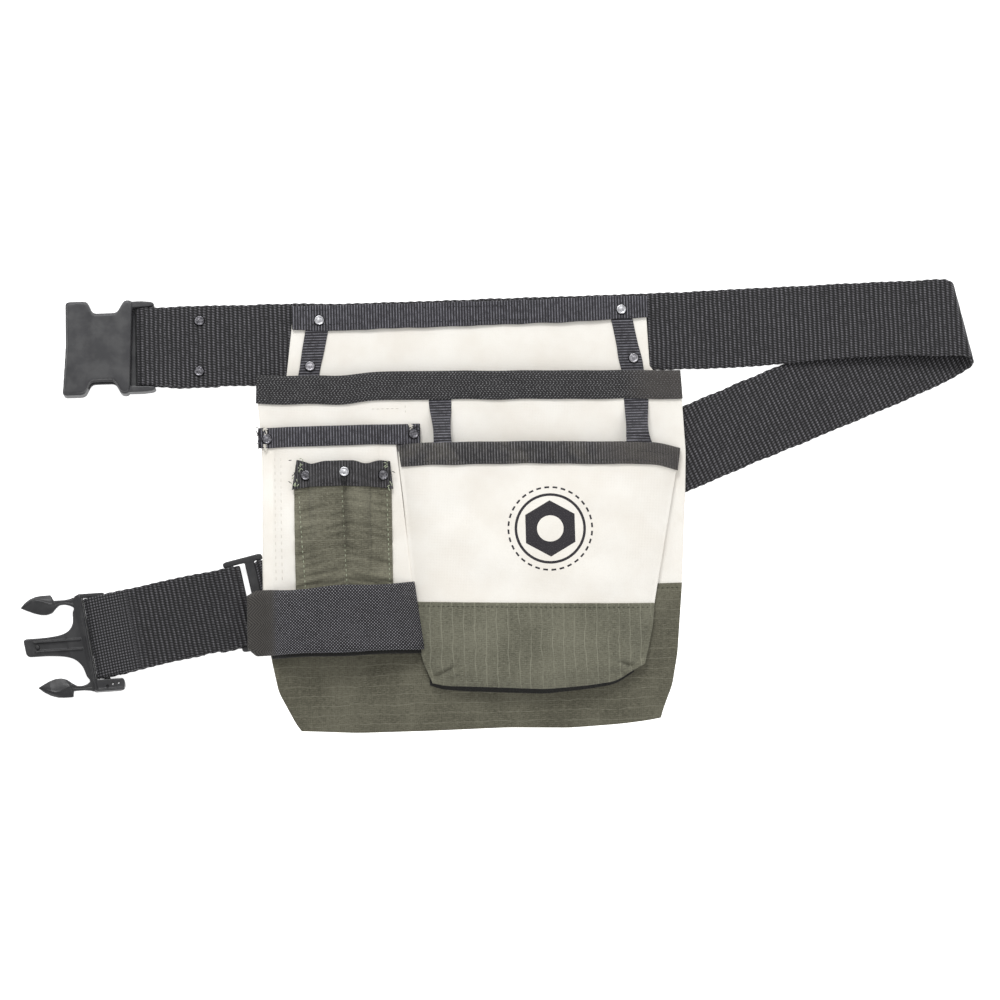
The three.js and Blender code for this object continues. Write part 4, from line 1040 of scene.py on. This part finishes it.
def block(x0, x1, y0, y1, z0, z1, corner=0.4):
    """A maker of a box whose upright corners are rounded."""
    return prism([[x0, y0], [x1, y0], [x1, y1], [x0, y1]], corner, z0, z1)


def add_bar(bm, x, z, radius, half_length, segments=24):
    """A round bar along y."""
    angles = [2 * math.pi * k / segments for k in range(segments)]
    near, far = ([bm.verts.new((x + radius * math.cos(a), y, z + radius * math.sin(a))) for a in angles]
                 for y in (-half_length, half_length))
    bm.faces.new(near)
    bm.faces.new(far[::-1])
    for k in range(segments):
        j = (k + 1) % segments
        bm.faces.new((near[k], far[k], far[j], near[j]))
    bmesh.ops.recalc_face_normals(bm, faces=bm.faces)


def moulded(name, shapes, cutters, voxel, place, body, material, node, smoothing=5):
    """Shapes in mm grown together into one moulding with softened edges; the cutters open up the first."""
    scratch = []

    def solid(maker, start=None):
        """A scratch object of what the maker adds to the start mesh."""
        bm = bmesh.new()
        if start:
            bm.from_mesh(start)
        maker(bm)
        mesh = bpy.data.meshes.new("solid")
        bm.to_mesh(mesh)
        bm.free()
        scratch.append(bpy.data.objects.new("solid", mesh))
        bpy.context.scene.collection.objects.link(scratch[-1])
        return scratch[-1]

    def outwards(maker):
        def both(bm):
            maker(bm)
            bmesh.ops.recalc_face_normals(bm, faces=bm.faces)

        return both

    def shaped(piece):
        bpy.context.view_layer.update()
        return bpy.data.meshes.new_from_object(piece.evaluated_get(bpy.context.evaluated_depsgraph_get()))

    base = solid(outwards(shapes[0]))
    for cutter in cutters:
        opening = base.modifiers.new("opening", "BOOLEAN")
        opening.operation = "DIFFERENCE"
        opening.object = solid(outwards(cutter))
    extras = [solid(outwards(maker)).data for maker in shapes[1:]]
    whole = solid(lambda bm: [bm.from_mesh(extra) for extra in extras], shaped(base))
    remesh = whole.modifiers.new("grow_together", "REMESH")
    remesh.mode = "VOXEL"
    remesh.voxel_size = voxel
    soften = whole.modifiers.new("soften", "SMOOTH")
    soften.factor = 0.5
    soften.iterations = smoothing
    mesh = shaped(whole)
    for piece in scratch:
        bpy.data.objects.remove(piece)
    co = np.zeros(len(mesh.vertices) * 3)
    mesh.vertices.foreach_get("co", co)
    mesh.vertices.foreach_set("co", (place(*co.reshape(-1, 3).T) * MM).ravel())
    mesh.name = name
    mesh.polygons.foreach_set("use_smooth", [True] * len(mesh.polygons))
    mesh.update()
    new_object(name, mesh, material, body, "plastic", node)


def build_female_buckle():
    rear, mouth, half, height = -9.0, -51.0, 30.0, 12.0
    notch = [[-14.2, half, 2.5], [-18.6, half - 8.0, 2.5], [-33.4, half - 8.0, 2.5], [-37.2, half, 2.5]]

    def outline_at(inset):
        side = half - inset
        upper = [[rear, side - 2.5, 2], [rear - 1.0, side, 2.5]]
        upper += [[x, y - inset, r] for x, y, r in notch]
        upper += [[mouth + inset, side, 2.4], [mouth + inset + 1.0, 0, 0.5]]
        lower = [[x, -y, r] for x, y, r in upper[:-1]][::-1]
        return [[x + 0.045 * y, y, r] for x, y, r in [*upper, *lower]]

    def skin(x, y):
        return height - 0.8 * smoothstep(abs(y), 12, 29) ** 2 - 0.5 * smoothstep(-x, 42, 50)

    arms = [prism([[rear - 2, side * 24.9], [3.6, side * 25.5, 2], [6.4, side * 26.4, 1.5],
                   [5.2, side * 28.4, 2.5], [-1, side * 29.1, 3], [rear - 2, side * 29.0]],
                  1, 1.4, height - 2.4) for side in (1, -1)]
    shapes = [prism(outline_at(0.0), 2, 0.05, height - 2.3), prism(outline_at(1.3), 2, height - 4, skin),
              *arms, block(rear - 2, -6.3, -26, 26, 0.3, 4.6), block(rear - 2, -3.9, -26, 26, 0.3, 1.9),
              lambda bm: add_bar(bm, 0, FEMALE_BAR_HEIGHT, 1.9, 26.6)]
    cavity = block(mouth - 3, rear - 3.4, -25.2, 25.2, 2.1, height - 3.4)
    # Its lighter plastic is painted reflection on the glossy upward-facing top.
    moulded("female_buckle_moulding", shapes, [cavity], 0.5, BELT, "female_end", plastic_painted_sheen,
            "female_buckle")


def build_slider():
    rails = [prism([[-12.5, side * 25.7], [12.5, side * 25.7], [12.5, side * 28.8, 3.0],
                    [-12.5, side * 29.4, 3.0]],
                   0.5, SLIDER_HEIGHT - 1.6, SLIDER_HEIGHT + 1.6) for side in (1, -1)]
    flats = [block(x0, x1, -26.5, 26.5, SLIDER_HEIGHT - 1.2, SLIDER_HEIGHT + 1.2)
             for x0, x1 in ((6.5, 11.5), (-7.0, -0.9))]
    moulded("slider_moulding", [*rails, *flats, lambda bm: add_bar(bm, -10, SLIDER_HEIGHT, 1.25, 26.6)], [],
            0.4, STRAP, "slider_frame", plastic, "slider")


MALE_SKEW = 0.115
MALE_SIDE = 1.95
MALE_BACK = 1.4


def male_place(x, y, z):
    """The male buckle has worked loose on its strap, so it lies a little askew."""
    return MALE(x - MALE_BACK - MALE_SKEW * (y + MALE_SIDE), y + MALE_SIDE - (x - 16) * 0.055, z)


def build_male_buckle():
    middle, half, front, tip = MALE_BAR_HEIGHT, 30.35, 15.2, 50.4
    low, high = middle - 3.7, middle + 3.7

    def bar(bm):
        add_bar(bm, MALE_BACK, middle, 1.9, 29)
        for vertex in bm.verts:
            vertex.co.x += MALE_SKEW * (vertex.co.y + MALE_SIDE)

    lower_arm = prism([[12.5, 22.9], [12.5, half], [-4.0, half, 4], [-5.9, half - 3, 3], [-5.9, 22.9, 1]],
                      0.5, low, high - 0.7)
    arm_rim = block(-5.0, 12, half - 1.2, half, high - 1.5, high + 0.1)
    upper_arm = block(-5.4, 11, -31.7, -29.3, low + 1.2, high - 0.9, 0.8)
    cross_piece = prism([[9.1, -half - 0.6, 0.5], [13.0, -half - 0.6, 3], [front, -half + 3, 3],
                         [front, half - 3, 3], [14.0, half, 2], [11.5, half, 0.5]],
                        1, low, lambda x, y: high - 2.4 * smoothstep(x, 11, front))
    lip = prism([[8.4, -half], [12, -half], [13.5, half], [10.8, half]], 0.3, low, low + 1.1)
    bead = prism([[9.6, -half + 0.5], [10.7, -half + 0.5], [13.0, half - 0.5], [11.9, half - 0.5]], 0.3,
                 high - 1.5, high + 0.5)
    side = [[14.5, -22.6, 3], [16.4, -21.2, 3], [17.5, -13.5, 6], [21.5, -8.6, 6], [28, -6.5, 6],
            [38, -5.7, 3], [tip - 1.2, -5.7, 1.5], [tip, -4.2, 1.2]]
    tongue = prism(side + [[x, -y, r] for x, y, r in side[::-1]], 2, middle - 2.1,
                   lambda x, y: middle + 1.6 - 0.5 * smoothstep(abs(y), 4, 6) * (x > 24))
    tongue_rails = [prism([[15, sign * 3.7], [tip - 6, sign * 3.4], [tip - 6, sign * 2.3], [15, sign * 2.4]],
                          0.4, middle, middle + 2.5) for sign in (1, -1)]
    circle = np.array([[tip - 8 + 1.3 * math.cos(a), 1.3 * math.sin(a)]
                       for a in np.linspace(0, 2 * math.pi, 17)])
    holes = [block(x - 0.7, x + 0.7, 25.4 + lean, 27.0 + lean, low - 1, high + 1)
             for x, lean in ((-2.0, -0.6), (1.6, -0.2), (5.2, 1.2))]
    shapes = [lower_arm, arm_rim, upper_arm, cross_piece, lip, bead, tongue, *tongue_rails,
              lambda bm: add_prism(bm, circle[:-1], middle, middle + 2.7), bar]
    moulded("male_buckle_moulding", shapes, holes, 0.38, male_place, "male_end", plastic, "male_buckle", 4)


def build_prong(name, node, body, side):
    """A spring prong: a thin neck, then a leaf-shaped head with an S-shaped ridge between two facets."""
    middle = 25.5
    outer_edge = through((14, 4.4), (16.5, 3.6), (20, 3.2), (26.6, 3.2), (27.3, 7.0), (33, 7.0), (37, 6.6),
                         (41, 5.2), (44.5, 3.0), (47.5, 0.15), ease=0.4)
    inner_edge = through((14, -2.6), (17, -0.4), (20, 0.5), (23.5, 0.4), (26.5, -1.8), (29, -4.2),
                         (32.5, -5.2), (36, -5.0), (40, -3.8), (44, -1.9), (47.5, -0.15), ease=0.8)
    xs = np.unique(np.concatenate([np.linspace(14, 47.5, 90), [26.7, 26.9, 27.1, 27.3]]))
    outer, inner = outer_edge(xs), inner_edge(xs)
    in_head = smoothstep(xs, 25.5, 28.5)
    ridge_line = mix(inner, outer, 0.5 + 0.26 * np.sin((xs - 30) / 15 * math.pi) * in_head)
    low = MALE_BAR_HEIGHT - mix(2.2, 2.7, in_head)
    edge = MALE_BAR_HEIGHT + mix(1.2, 0.2, in_head)
    crest = MALE_BAR_HEIGHT + mix(1.6, 3.0, in_head) * np.clip((49 - xs) / 9, 0.25, 1)
    shares = np.array([0, 0.03, 0.12, 0.4, 0.8, 0.95, 1])
    rings = []
    for share in shares:
        step_down = 0.5 * smoothstep(share, 0.8, 1)
        rings.append((mix(inner, ridge_line, share),
                      mix(edge, crest, share) - step_down + 0.25 * (share > 0.96)))
    for share in shares[::-1][1:]:
        rings.append((mix(outer, ridge_line, share),
                      mix(edge, crest, share) - 0.9 * smoothstep(share, 0.8, 1)))
    for share in (0.0, 0.5, 1.0):
        rings.append((mix(outer, inner, share), low + 0.5 * (share != 0.5)))
    points = np.stack([np.stack([xs, side * (middle + y), z + 0 * xs], 1) for y, z in rings], 1)
    mesh = mesh_from(name, male_place(*points.reshape(-1, 3).T), tube_faces(*points.shape[:2], side))
    bm = bmesh.new()
    bm.from_mesh(mesh)
    bmesh.ops.recalc_face_normals(bm, faces=bm.faces)
    bm.to_mesh(mesh)
    bm.free()
    new_object(name, mesh, plastic, body, "plastic", node)


# ---- materials ----

class Wire:
    """A value in a material's node tree; arithmetic with it adds the nodes that work it out."""

    def __init__(self, tree, socket):
        self.tree = tree
        self.socket = socket

    def __add__(self, other):
        return self.tree.math("ADD", self, other)

    def __or__(self, other):
        """The sum, kept within 0 and 1."""
        return self.tree.math("ADD", self, other, clamp=True)

    def __sub__(self, other):
        return self.tree.math("SUBTRACT", self, other)

    def __rsub__(self, other):
        return self.tree.math("SUBTRACT", other, self)

    def __mul__(self, other):
        return self.tree.math("MULTIPLY", self, other)

    def __truediv__(self, other):
        return self.tree.math("DIVIDE", self, other)

    def __abs__(self):
        return self.tree.math("ABSOLUTE", self)

    def floor(self):
        return self.tree.math("FLOOR", self)

    def fract(self):
        return self.tree.math("FRACT", self)

    def wave(self, pitch):
        """A sine of that pitch, from 0 to 1."""
        return self.tree.math("SINE", self * (2 * math.pi / pitch)) * 0.5 + 0.5

    def zigzag(self, pitch):
        """Half the pitch at each end of a period, and nothing in its middle."""
        return abs((self / pitch).fract() - 0.5) * pitch

    def step(self, low, high):
        """0 below low and 1 above high, smoothly between; the other way round when high is the lower."""
        starts = {"From Min": min(low, high), "From Max": max(low, high), "To Min": float(low > high),
                  "To Max": float(low < high)}
        return self.tree.wire("MapRange", {"interpolation_type": "SMOOTHSTEP"}, {"Value": self, **starts})


class Tree:
    """A material's node tree, with short calls to build its patterns."""

    def __init__(self, name, roughness, specular=0.35, metallic=0.0, sheen=0.0):
        self.material = bpy.data.materials.new(name)
        self.material.use_nodes = True
        self.nodes = self.material.node_tree.nodes
        self.shader = self.nodes["Principled BSDF"]
        self.put_all(self.shader, {"Roughness": roughness, "Specular IOR Level": specular,
                                   "Metallic": metallic, "Sheen Weight": sheen, "Sheen Roughness": 0.5})

    def put_all(self, node, values):
        for name, value in values.items():
            socket = node.inputs[name]
            if isinstance(value, Wire):
                self.material.node_tree.links.new(value.socket, socket)
            elif socket.type == "RGBA":
                socket.default_value = (*value, 1)
            else:
                socket.default_value = value

    def wire(self, kind, settings, values, output=0):
        """The output of a new node with these settings and inputs."""
        node = self.nodes.new("ShaderNode" + kind)
        for name, value in settings.items():
            setattr(node, name, value)
        self.put_all(node, values)
        return Wire(self, node.outputs[output])

    def math(self, operation, a, b=0.0, clamp=False):
        return self.wire("Math", {"operation": operation, "use_clamp": clamp}, {0: a, 1: b})

    def flat(self):
        """The cloth's own flat coordinates in mm: along it, across it, and both as a vector."""
        uv = self.wire("UVMap", {"uv_map": "flat"}, {})
        split = self.wire("SeparateXYZ", {}, {0: uv})
        return split, Wire(self, split.socket.node.outputs[1]), uv

    def place(self):
        return self.wire("TexCoord", {}, {}, "Object")

    def noise(self, vector, scale, detail=3.0, roughness=0.55):
        values = {"Vector": vector, "Scale": scale, "Detail": detail, "Roughness": roughness}
        return self.wire("TexNoise", {}, values)

    def stretched(self, vector, along, across):
        """The flat coordinates scaled differently each way, for threads that run one way."""
        return self.wire("Mapping", {}, {"Vector": vector, "Scale": (along, across, 1)})

    def mix(self, share, a, b):
        """Colour a turned into colour b by that share."""
        node = self.nodes.new("ShaderNodeMix")
        node.data_type = "RGBA"
        self.put_all(node, {"Factor": share, "A": a, "B": b})
        return Wire(self, node.outputs["Result"])

    def tinted(self, colour, *tints):
        """The colour with tints laid over it in turn, each a (mask, amount, colour)."""
        for mask, amount, tint in tints:
            colour = self.mix(mask * amount, colour, tint)
        return colour

    def finish(self, colour, height, distance, strength, **values):
        """The material with this colour, relief and other shader inputs."""
        bump = self.wire("Bump", {}, {"Strength": strength, "Distance": distance, "Height": height})
        self.put_all(self.shader, {"Base Color": colour, "Normal": bump, **values})
        return self.material


def linear(red, green, blue):
    """A colour from its 0 to 255 display values."""
    return tuple((c / 255 / 12.92 if c / 255 <= 0.04045 else ((c / 255 + 0.055) / 1.055) ** 2.4)
                 for c in (red, green, blue))


def scaled(colour, by):
    return tuple(min(1.0, c * by) for c in colour)


def canvas_material():
    t = Tree("canvas_white", 0.92, 0.2, sheen=0.15)
    u, v, uv = t.flat()
    slubs = t.noise(uv, 1.4, 4)
    colour = t.mix(t.noise(uv, 0.03).step(0.3, 0.7), linear(240, 235, 226), linear(247, 244, 237))
    colour = t.tinted(colour, (slubs.step(0.55, 0.8), 0.35, linear(222, 215, 201)))
    return t.finish(colour, u.wave(0.95) * v.wave(0.95) * 0.6 + slubs * 0.5, 0.00022, 0.55)


def ripstop_material(name, dark, light, grid, level, upright):
    """Green cloth with thin pale threads: `level` and `upright` say how strongly each way shows."""
    t = Tree(name, 0.85, 0.2, sheen=0.1)
    u, v, uv = t.flat()
    drift = (t.noise(uv, 0.05, 2) - 0.5) * 5.0
    threads = t.noise(t.stretched(uv, 3.4, 0.35), 1.0, 3, 0.7)
    warp = t.noise(t.stretched(uv, 0.35, 3.4), 1.0, 3, 0.7)
    level_lines = (u + drift).wave(6.1).step(0.965, 0.997) * t.noise(uv, 0.11).step(0.25, 0.6)
    upright_lines = (v + drift).wave(6.8).step(0.965, 0.997) * t.noise(uv, 0.05).step(0.3, 0.55)
    lines = level_lines * level | upright_lines * upright
    picks = u.wave(1.3).step(0.45, 0.95) * t.noise(uv, 0.5, 2).step(0.42, 0.6)
    ends = v.wave(1.3).step(0.45, 0.95) * t.noise(uv, 0.6, 2).step(0.46, 0.64)
    colour = t.tinted(
        t.mix(t.noise(uv, 0.03).step(0.32, 0.68), dark, light),
        (threads.step(0.5, 0.68), 0.6, scaled(light, 1.55)),
        (threads.step(0.48, 0.32), 0.65, scaled(dark, 0.45)),
        (warp.step(0.52, 0.72), 0.4, scaled(light, 1.5)),
        (warp.step(0.46, 0.3), 0.45, scaled(dark, 0.5)),
        (picks, 0.4, scaled(light, 1.45)),
        (ends, 0.35, scaled(dark, 0.6)))
    height = u.wave(0.85) * v.wave(0.85) * 0.4 + lines * 0.8 + threads * 0.5
    return t.finish(t.mix(lines, colour, grid), height, 0.00025, 0.6)


def webbing_material(name, squares_from=None):
    """Black cords with a body of small beads: painted shade in the grooves between cords and between beads,
    and a painted highlight, a thin pale glint, down one side of each.

    Beyond `squares_from` mm along it, where the strap is pulled tight, the weave shows small squares.
    """
    t = Tree(name, 0.6, 0.3, sheen=0.1)
    u, v, uv = t.flat()
    cords = (u + (t.noise(uv, 0.07, 2) - 0.5) * 1.2) / RIB_PITCH
    share = cords.fract()
    odd = (cords.floor() * 0.5).fract()
    shaded_gap = share.step(0.32, 0.08) | share.step(0.86, 0.97)
    beads = (v + u * 0.25 + odd * 0.8).wave(1.6)
    specks = (t.noise(uv, 2.0, 3, 0.75) + t.noise(uv, 0.35, 2) * 0.5).step(0.5, 0.85)
    lit = share.step(0.34, 0.5) * share.step(0.72, 0.54) * specks * (beads * 0.85 + 0.15)
    lit = lit * t.noise(t.stretched(uv, 1.0, 0.4), 0.6, 2).step(0.34, 0.56)
    # Painted shade darkens the grooves between cords and the spaces between beads, and `lit` is a painted
    # highlight down one side of each cord.
    colour = t.tinted(
        t.mix(t.noise(uv, 0.04).step(0.3, 0.7), linear(22, 21, 23), linear(31, 30, 32)),
        (beads.step(0.4, 0.7), 0.75, linear(78, 77, 81)),
        (beads.step(0.3, 0.08), 0.7, linear(12, 12, 13)),
        (lit, 0.75, linear(140, 138, 144)),
        (shaded_gap, 0.9, linear(9, 9, 10)))
    if squares_from:
        squares = u.wave(1.75) * v.wave(1.75)
        tight = t.mix(squares.step(0.16, 0.5), linear(17, 17, 19), linear(92, 91, 95))
        darker = t.mix(0.22, colour, linear(6, 6, 7))
        colour = t.mix(u.step(squares_from - 8, squares_from + 6), darker, tight)
    return t.finish(colour, (1.0 - shaded_gap) * (beads * 0.6 + 0.4), 0.0003, 0.8)


def tape_material(name, low, high, painted_highlight, twill=False, wear=0.0, plain_from=None):
    """A tape with ribs across it, or a zigzag twill; it is faded and plain beyond `plain_from` mm. The
    grooves between its ribs or ridges carry painted shade, and their tops a painted highlight.
    """
    t = Tree(name, 0.66, 0.3, sheen=0.1)
    u, v, uv = t.flat()
    fibres = t.noise(uv, 2.4, 3, 0.75)
    if twill:
        ridges = (u + v.zigzag(7.0)).wave(2.1)
        height = ridges * (v.wave(1.2) * 0.6 + 0.4)
        shaded_gap = ridges.step(0.4, 0.05)
        lit = height.step(0.5, 0.85) * fibres.step(0.42, 0.62)
    else:
        share = (u / TAPE_PITCH).fract()
        shaded_gap = (share.step(0.3, 0.05) | share.step(0.85, 0.98)) * t.noise(uv, 0.8, 2).step(0.36, 0.6)
        height = 1.0 - shaded_gap
        specks = (fibres + t.noise(uv, 0.3, 2) * 0.6).step(0.6, 0.95)
        lit = share.step(0.3, 0.5) * share.step(0.75, 0.55) * specks
    colour = t.mix(t.noise(uv, 0.06).step(0.3, 0.7), low, high)
    if wear:
        colour = t.tinted(colour, (t.noise(uv, 0.05).step(0.42, 0.66), wear, linear(92, 88, 80)))
    # Painted shade in the grooves between ribs or ridges, and a painted highlight on their tops.
    colour = t.tinted(colour, (shaded_gap, 0.75, linear(24, 24, 26)), (lit, 0.8, painted_highlight))
    if plain_from:
        faded = t.mix(fibres.step(0.4, 0.6), linear(40, 38, 37), linear(98, 93, 89))
        colour = t.tinted(colour, (u.step(plain_from - 12, plain_from + 12), 0.65, faded))
    return t.finish(colour, height, 0.0003, 0.7)


def loop_material():
    """The hammer loop's cloth: a basket weave with pale specks on its tops as painted highlights, and a
    browner zigzag at its left end.
    """
    t = Tree("hammer_loop_weave", 0.66, 0.3, sheen=0.1)
    u, v, uv = t.flat()
    basket = (u + v).wave(1.9) * (u - v).wave(1.9)
    twill = (u + v.zigzag(12.0)).wave(1.9)
    end = u.step(90, 97)
    lit = basket.step(0.42, 0.78) * t.noise(uv, 1.6, 3, 0.7).step(0.3, 0.55) * (1.0 - end)
    colour = t.mix(t.noise(uv, 0.07).step(0.3, 0.7), linear(20, 19, 22), linear(32, 31, 35))
    worn = t.mix(twill.step(0.3, 0.8), linear(48, 46, 44), linear(76, 73, 69))
    # The pale specks laid on here are painted highlights on the weave's tops.
    colour = t.tinted(t.mix(end, colour, worn), (lit, 0.95, linear(172, 171, 177)))
    height = t.wire("Mix", {}, {"Factor": end, "A": basket, "B": twill}, "Result")
    return t.finish(colour, height, 0.00035, 0.7)


def plastic_material(name, lightness):
    t = Tree(name, 0.42, 0.45)
    place = t.place()
    smears = t.noise(place, 90, 4)
    colours = [scaled(linear(*shade), lightness) for shade in ((40, 40, 42), (54, 54, 55))]
    return t.finish(t.mix(smears.step(0.35, 0.7), *colours), t.noise(place, 2600, 2), 0.00006, 0.5,
                    Roughness=smears * 0.22 + 0.32)


def thread_material(name, colour):
    t = Tree(name, 0.7, 0.3, sheen=0.2)
    strands = t.noise(t.place(), 3500, 2)
    return t.finish(t.mix(strands, scaled(colour, 0.78), colour), strands, 0.00006, 0.6)


def metal_material(name, dark, light, roughness):
    """Worn metal, with a near-black ring at its rim that is painted shadow where it meets the cloth."""
    t = Tree(name, roughness, 0.5, metallic=1.0)
    radius = t.flat()[0]
    place = t.place()
    patches = t.noise(place, 900, 4)
    colour = t.mix(patches.step(0.4, 0.65), dark, light)
    # Painted shadow: the rim, from 2.7 to 3.1 mm out, turns near black.
    colour = t.mix(radius.step(2.7, 3.1), colour, linear(14, 14, 15))
    return t.finish(colour, t.noise(place, 4200, 2), 0.00003, 0.5,
                    Roughness=patches * 0.25 + (roughness - 0.1))


def ink_material():
    t = Tree("print_ink", 0.8, 0.2)
    u, v, uv = t.flat()
    colour = t.mix(t.noise(uv, 1.8, 4).step(0.5, 0.75) * 0.5, linear(52, 50, 54), linear(120, 117, 116))
    return t.finish(colour, u.wave(0.95) * v.wave(0.95), 0.0002, 0.5)


canvas = canvas_material()
ripstop = ripstop_material("ripstop_green", linear(80, 78, 66), linear(104, 102, 88), linear(136, 134, 118),
                           0.4, 0.08)
ripstop_upright = ripstop_material("ripstop_green_light", linear(96, 95, 82), linear(116, 115, 100),
                                   linear(152, 151, 134), 0.08, 0.45)
ripstop_fine = ripstop_material("ripstop_green_fine", linear(92, 90, 77), linear(122, 120, 104),
                                linear(140, 138, 121), 0.35, 0.1)
webbing = webbing_material("webbing_black")
webbing_tight = webbing_material("webbing_black_tight", 100.0)
tape_cloth = tape_material("tape_ribbed", linear(42, 41, 45), linear(53, 52, 57), linear(150, 149, 158))
tape_worn = tape_material("tape_ribbed_worn", linear(42, 41, 42), linear(53, 52, 54), linear(140, 138, 140),
                          wear=0.5, plain_from=84.0)
tape_dark = tape_material("tape_dark", linear(38, 37, 38), linear(54, 53, 54), linear(120, 118, 122))
tape_twill = tape_material("tape_twill", linear(34, 33, 34), linear(44, 43, 44), linear(185, 185, 188),
                           twill=True, plain_from=106.0)
# Near-black cloth for the strips under the front pocket and the hammer loop: painted shadow.
painted_shadow_cloth = tape_material("painted_shadow_dark", linear(16, 15, 13), linear(22, 21, 18), linear(34, 33, 29))
loop_cloth = loop_material()
plastic = plastic_material("plastic_black", 1.0)
# A lighter copy of the same black plastic for the female buckle: painted reflection on its glossy
# upward-facing top.
plastic_painted_sheen = plastic_material("plastic_black_painted_sheen", 1.8)
thread_green = thread_material("thread_green", linear(178, 186, 160))
thread_white = thread_material("thread_white", linear(232, 228, 218))
thread_olive = thread_material("thread_olive", linear(78, 80, 64))
thread_black = thread_material("thread_black", linear(40, 39, 42))
steel_bright = metal_material("rivet_bright", linear(176, 176, 180), linear(212, 212, 215), 0.32)
steel_grey = metal_material("rivet_grey", linear(130, 129, 134), linear(180, 178, 182), 0.4)
steel_dark = metal_material("rivet_dark", linear(84, 83, 87), linear(140, 139, 144), 0.34)
ink = ink_material()


# ---- build ----

build_belt()
build_adjuster()
build_panels()
build_tapes()
build_hammer_loop()
build_stitches()
build_rivets()
build_badge()
build_female_buckle()
build_slider()
build_male_buckle()
build_prong("prong_lower_moulding", "prong_lower", "lower_prong", 1)
build_prong("prong_upper_moulding", "prong_upper", "upper_prong", -1)


# ---- floor, light and camera ----

def build_stage():
    mesh = bpy.data.meshes.new("floor")
    size = 3.0
    mesh.from_pydata([(-size, -size, 0), (size, -size, 0), (size, size, 0), (-size, size, 0)], [],
                     [(0, 1, 2, 3)])
    floor = bpy.data.objects.new("floor", mesh)
    bpy.context.scene.collection.objects.link(floor)
    paper = Tree("floor_paper", 0.9, 0.0)
    paper.shader.inputs["Base Color"].default_value = (0.9, 0.9, 0.9, 1)
    paper.shader.inputs["Emission Color"].default_value = (1, 1, 1, 1)
    paper.shader.inputs["Emission Strength"].default_value = 0.75
    mesh.materials.append(paper.material)

    world = bpy.data.worlds.new("studio")
    bpy.context.scene.world = world
    world.use_nodes = True
    world.node_tree.nodes["Background"].inputs[0].default_value = (1, 1, 1, 1)
    world.node_tree.nodes["Background"].inputs[1].default_value = 0.64

    def area_light(name, spot, size, power):
        data = bpy.data.lights.new(name, "AREA")
        data.size = size
        data.energy = power
        lamp = bpy.data.objects.new(name, data)
        lamp.location = spot
        lamp.rotation_euler = (Vector((0, 0, 0)) - Vector(spot)).to_track_quat("-Z", "Y").to_euler()
        bpy.context.scene.collection.objects.link(lamp)

    area_light("key", (-0.35, 1.5, 1.5), 0.6, 21)
    area_light("fill", (0.9, -0.7, 1.8), 1.4, 7.5)


def build_camera():
    data = bpy.data.cameras.new("camera")
    camera = bpy.data.objects.new("camera", data)
    bpy.context.scene.collection.objects.link(camera)
    distance, view_width, elevation = 2.4, 0.625, math.radians(80)
    data.sensor_width = 36
    data.lens = 36 * distance / view_width
    target = Vector((0.0018, 0.0033, 0.0))
    camera.location = target + Vector((0, -math.cos(elevation), math.sin(elevation))) * distance
    camera.rotation_euler = (target - camera.location).to_track_quat("-Z", "Y").to_euler()
    bpy.context.scene.camera = camera


bpy.context.scene.view_settings.view_transform = "Standard"
build_stage()
build_camera()
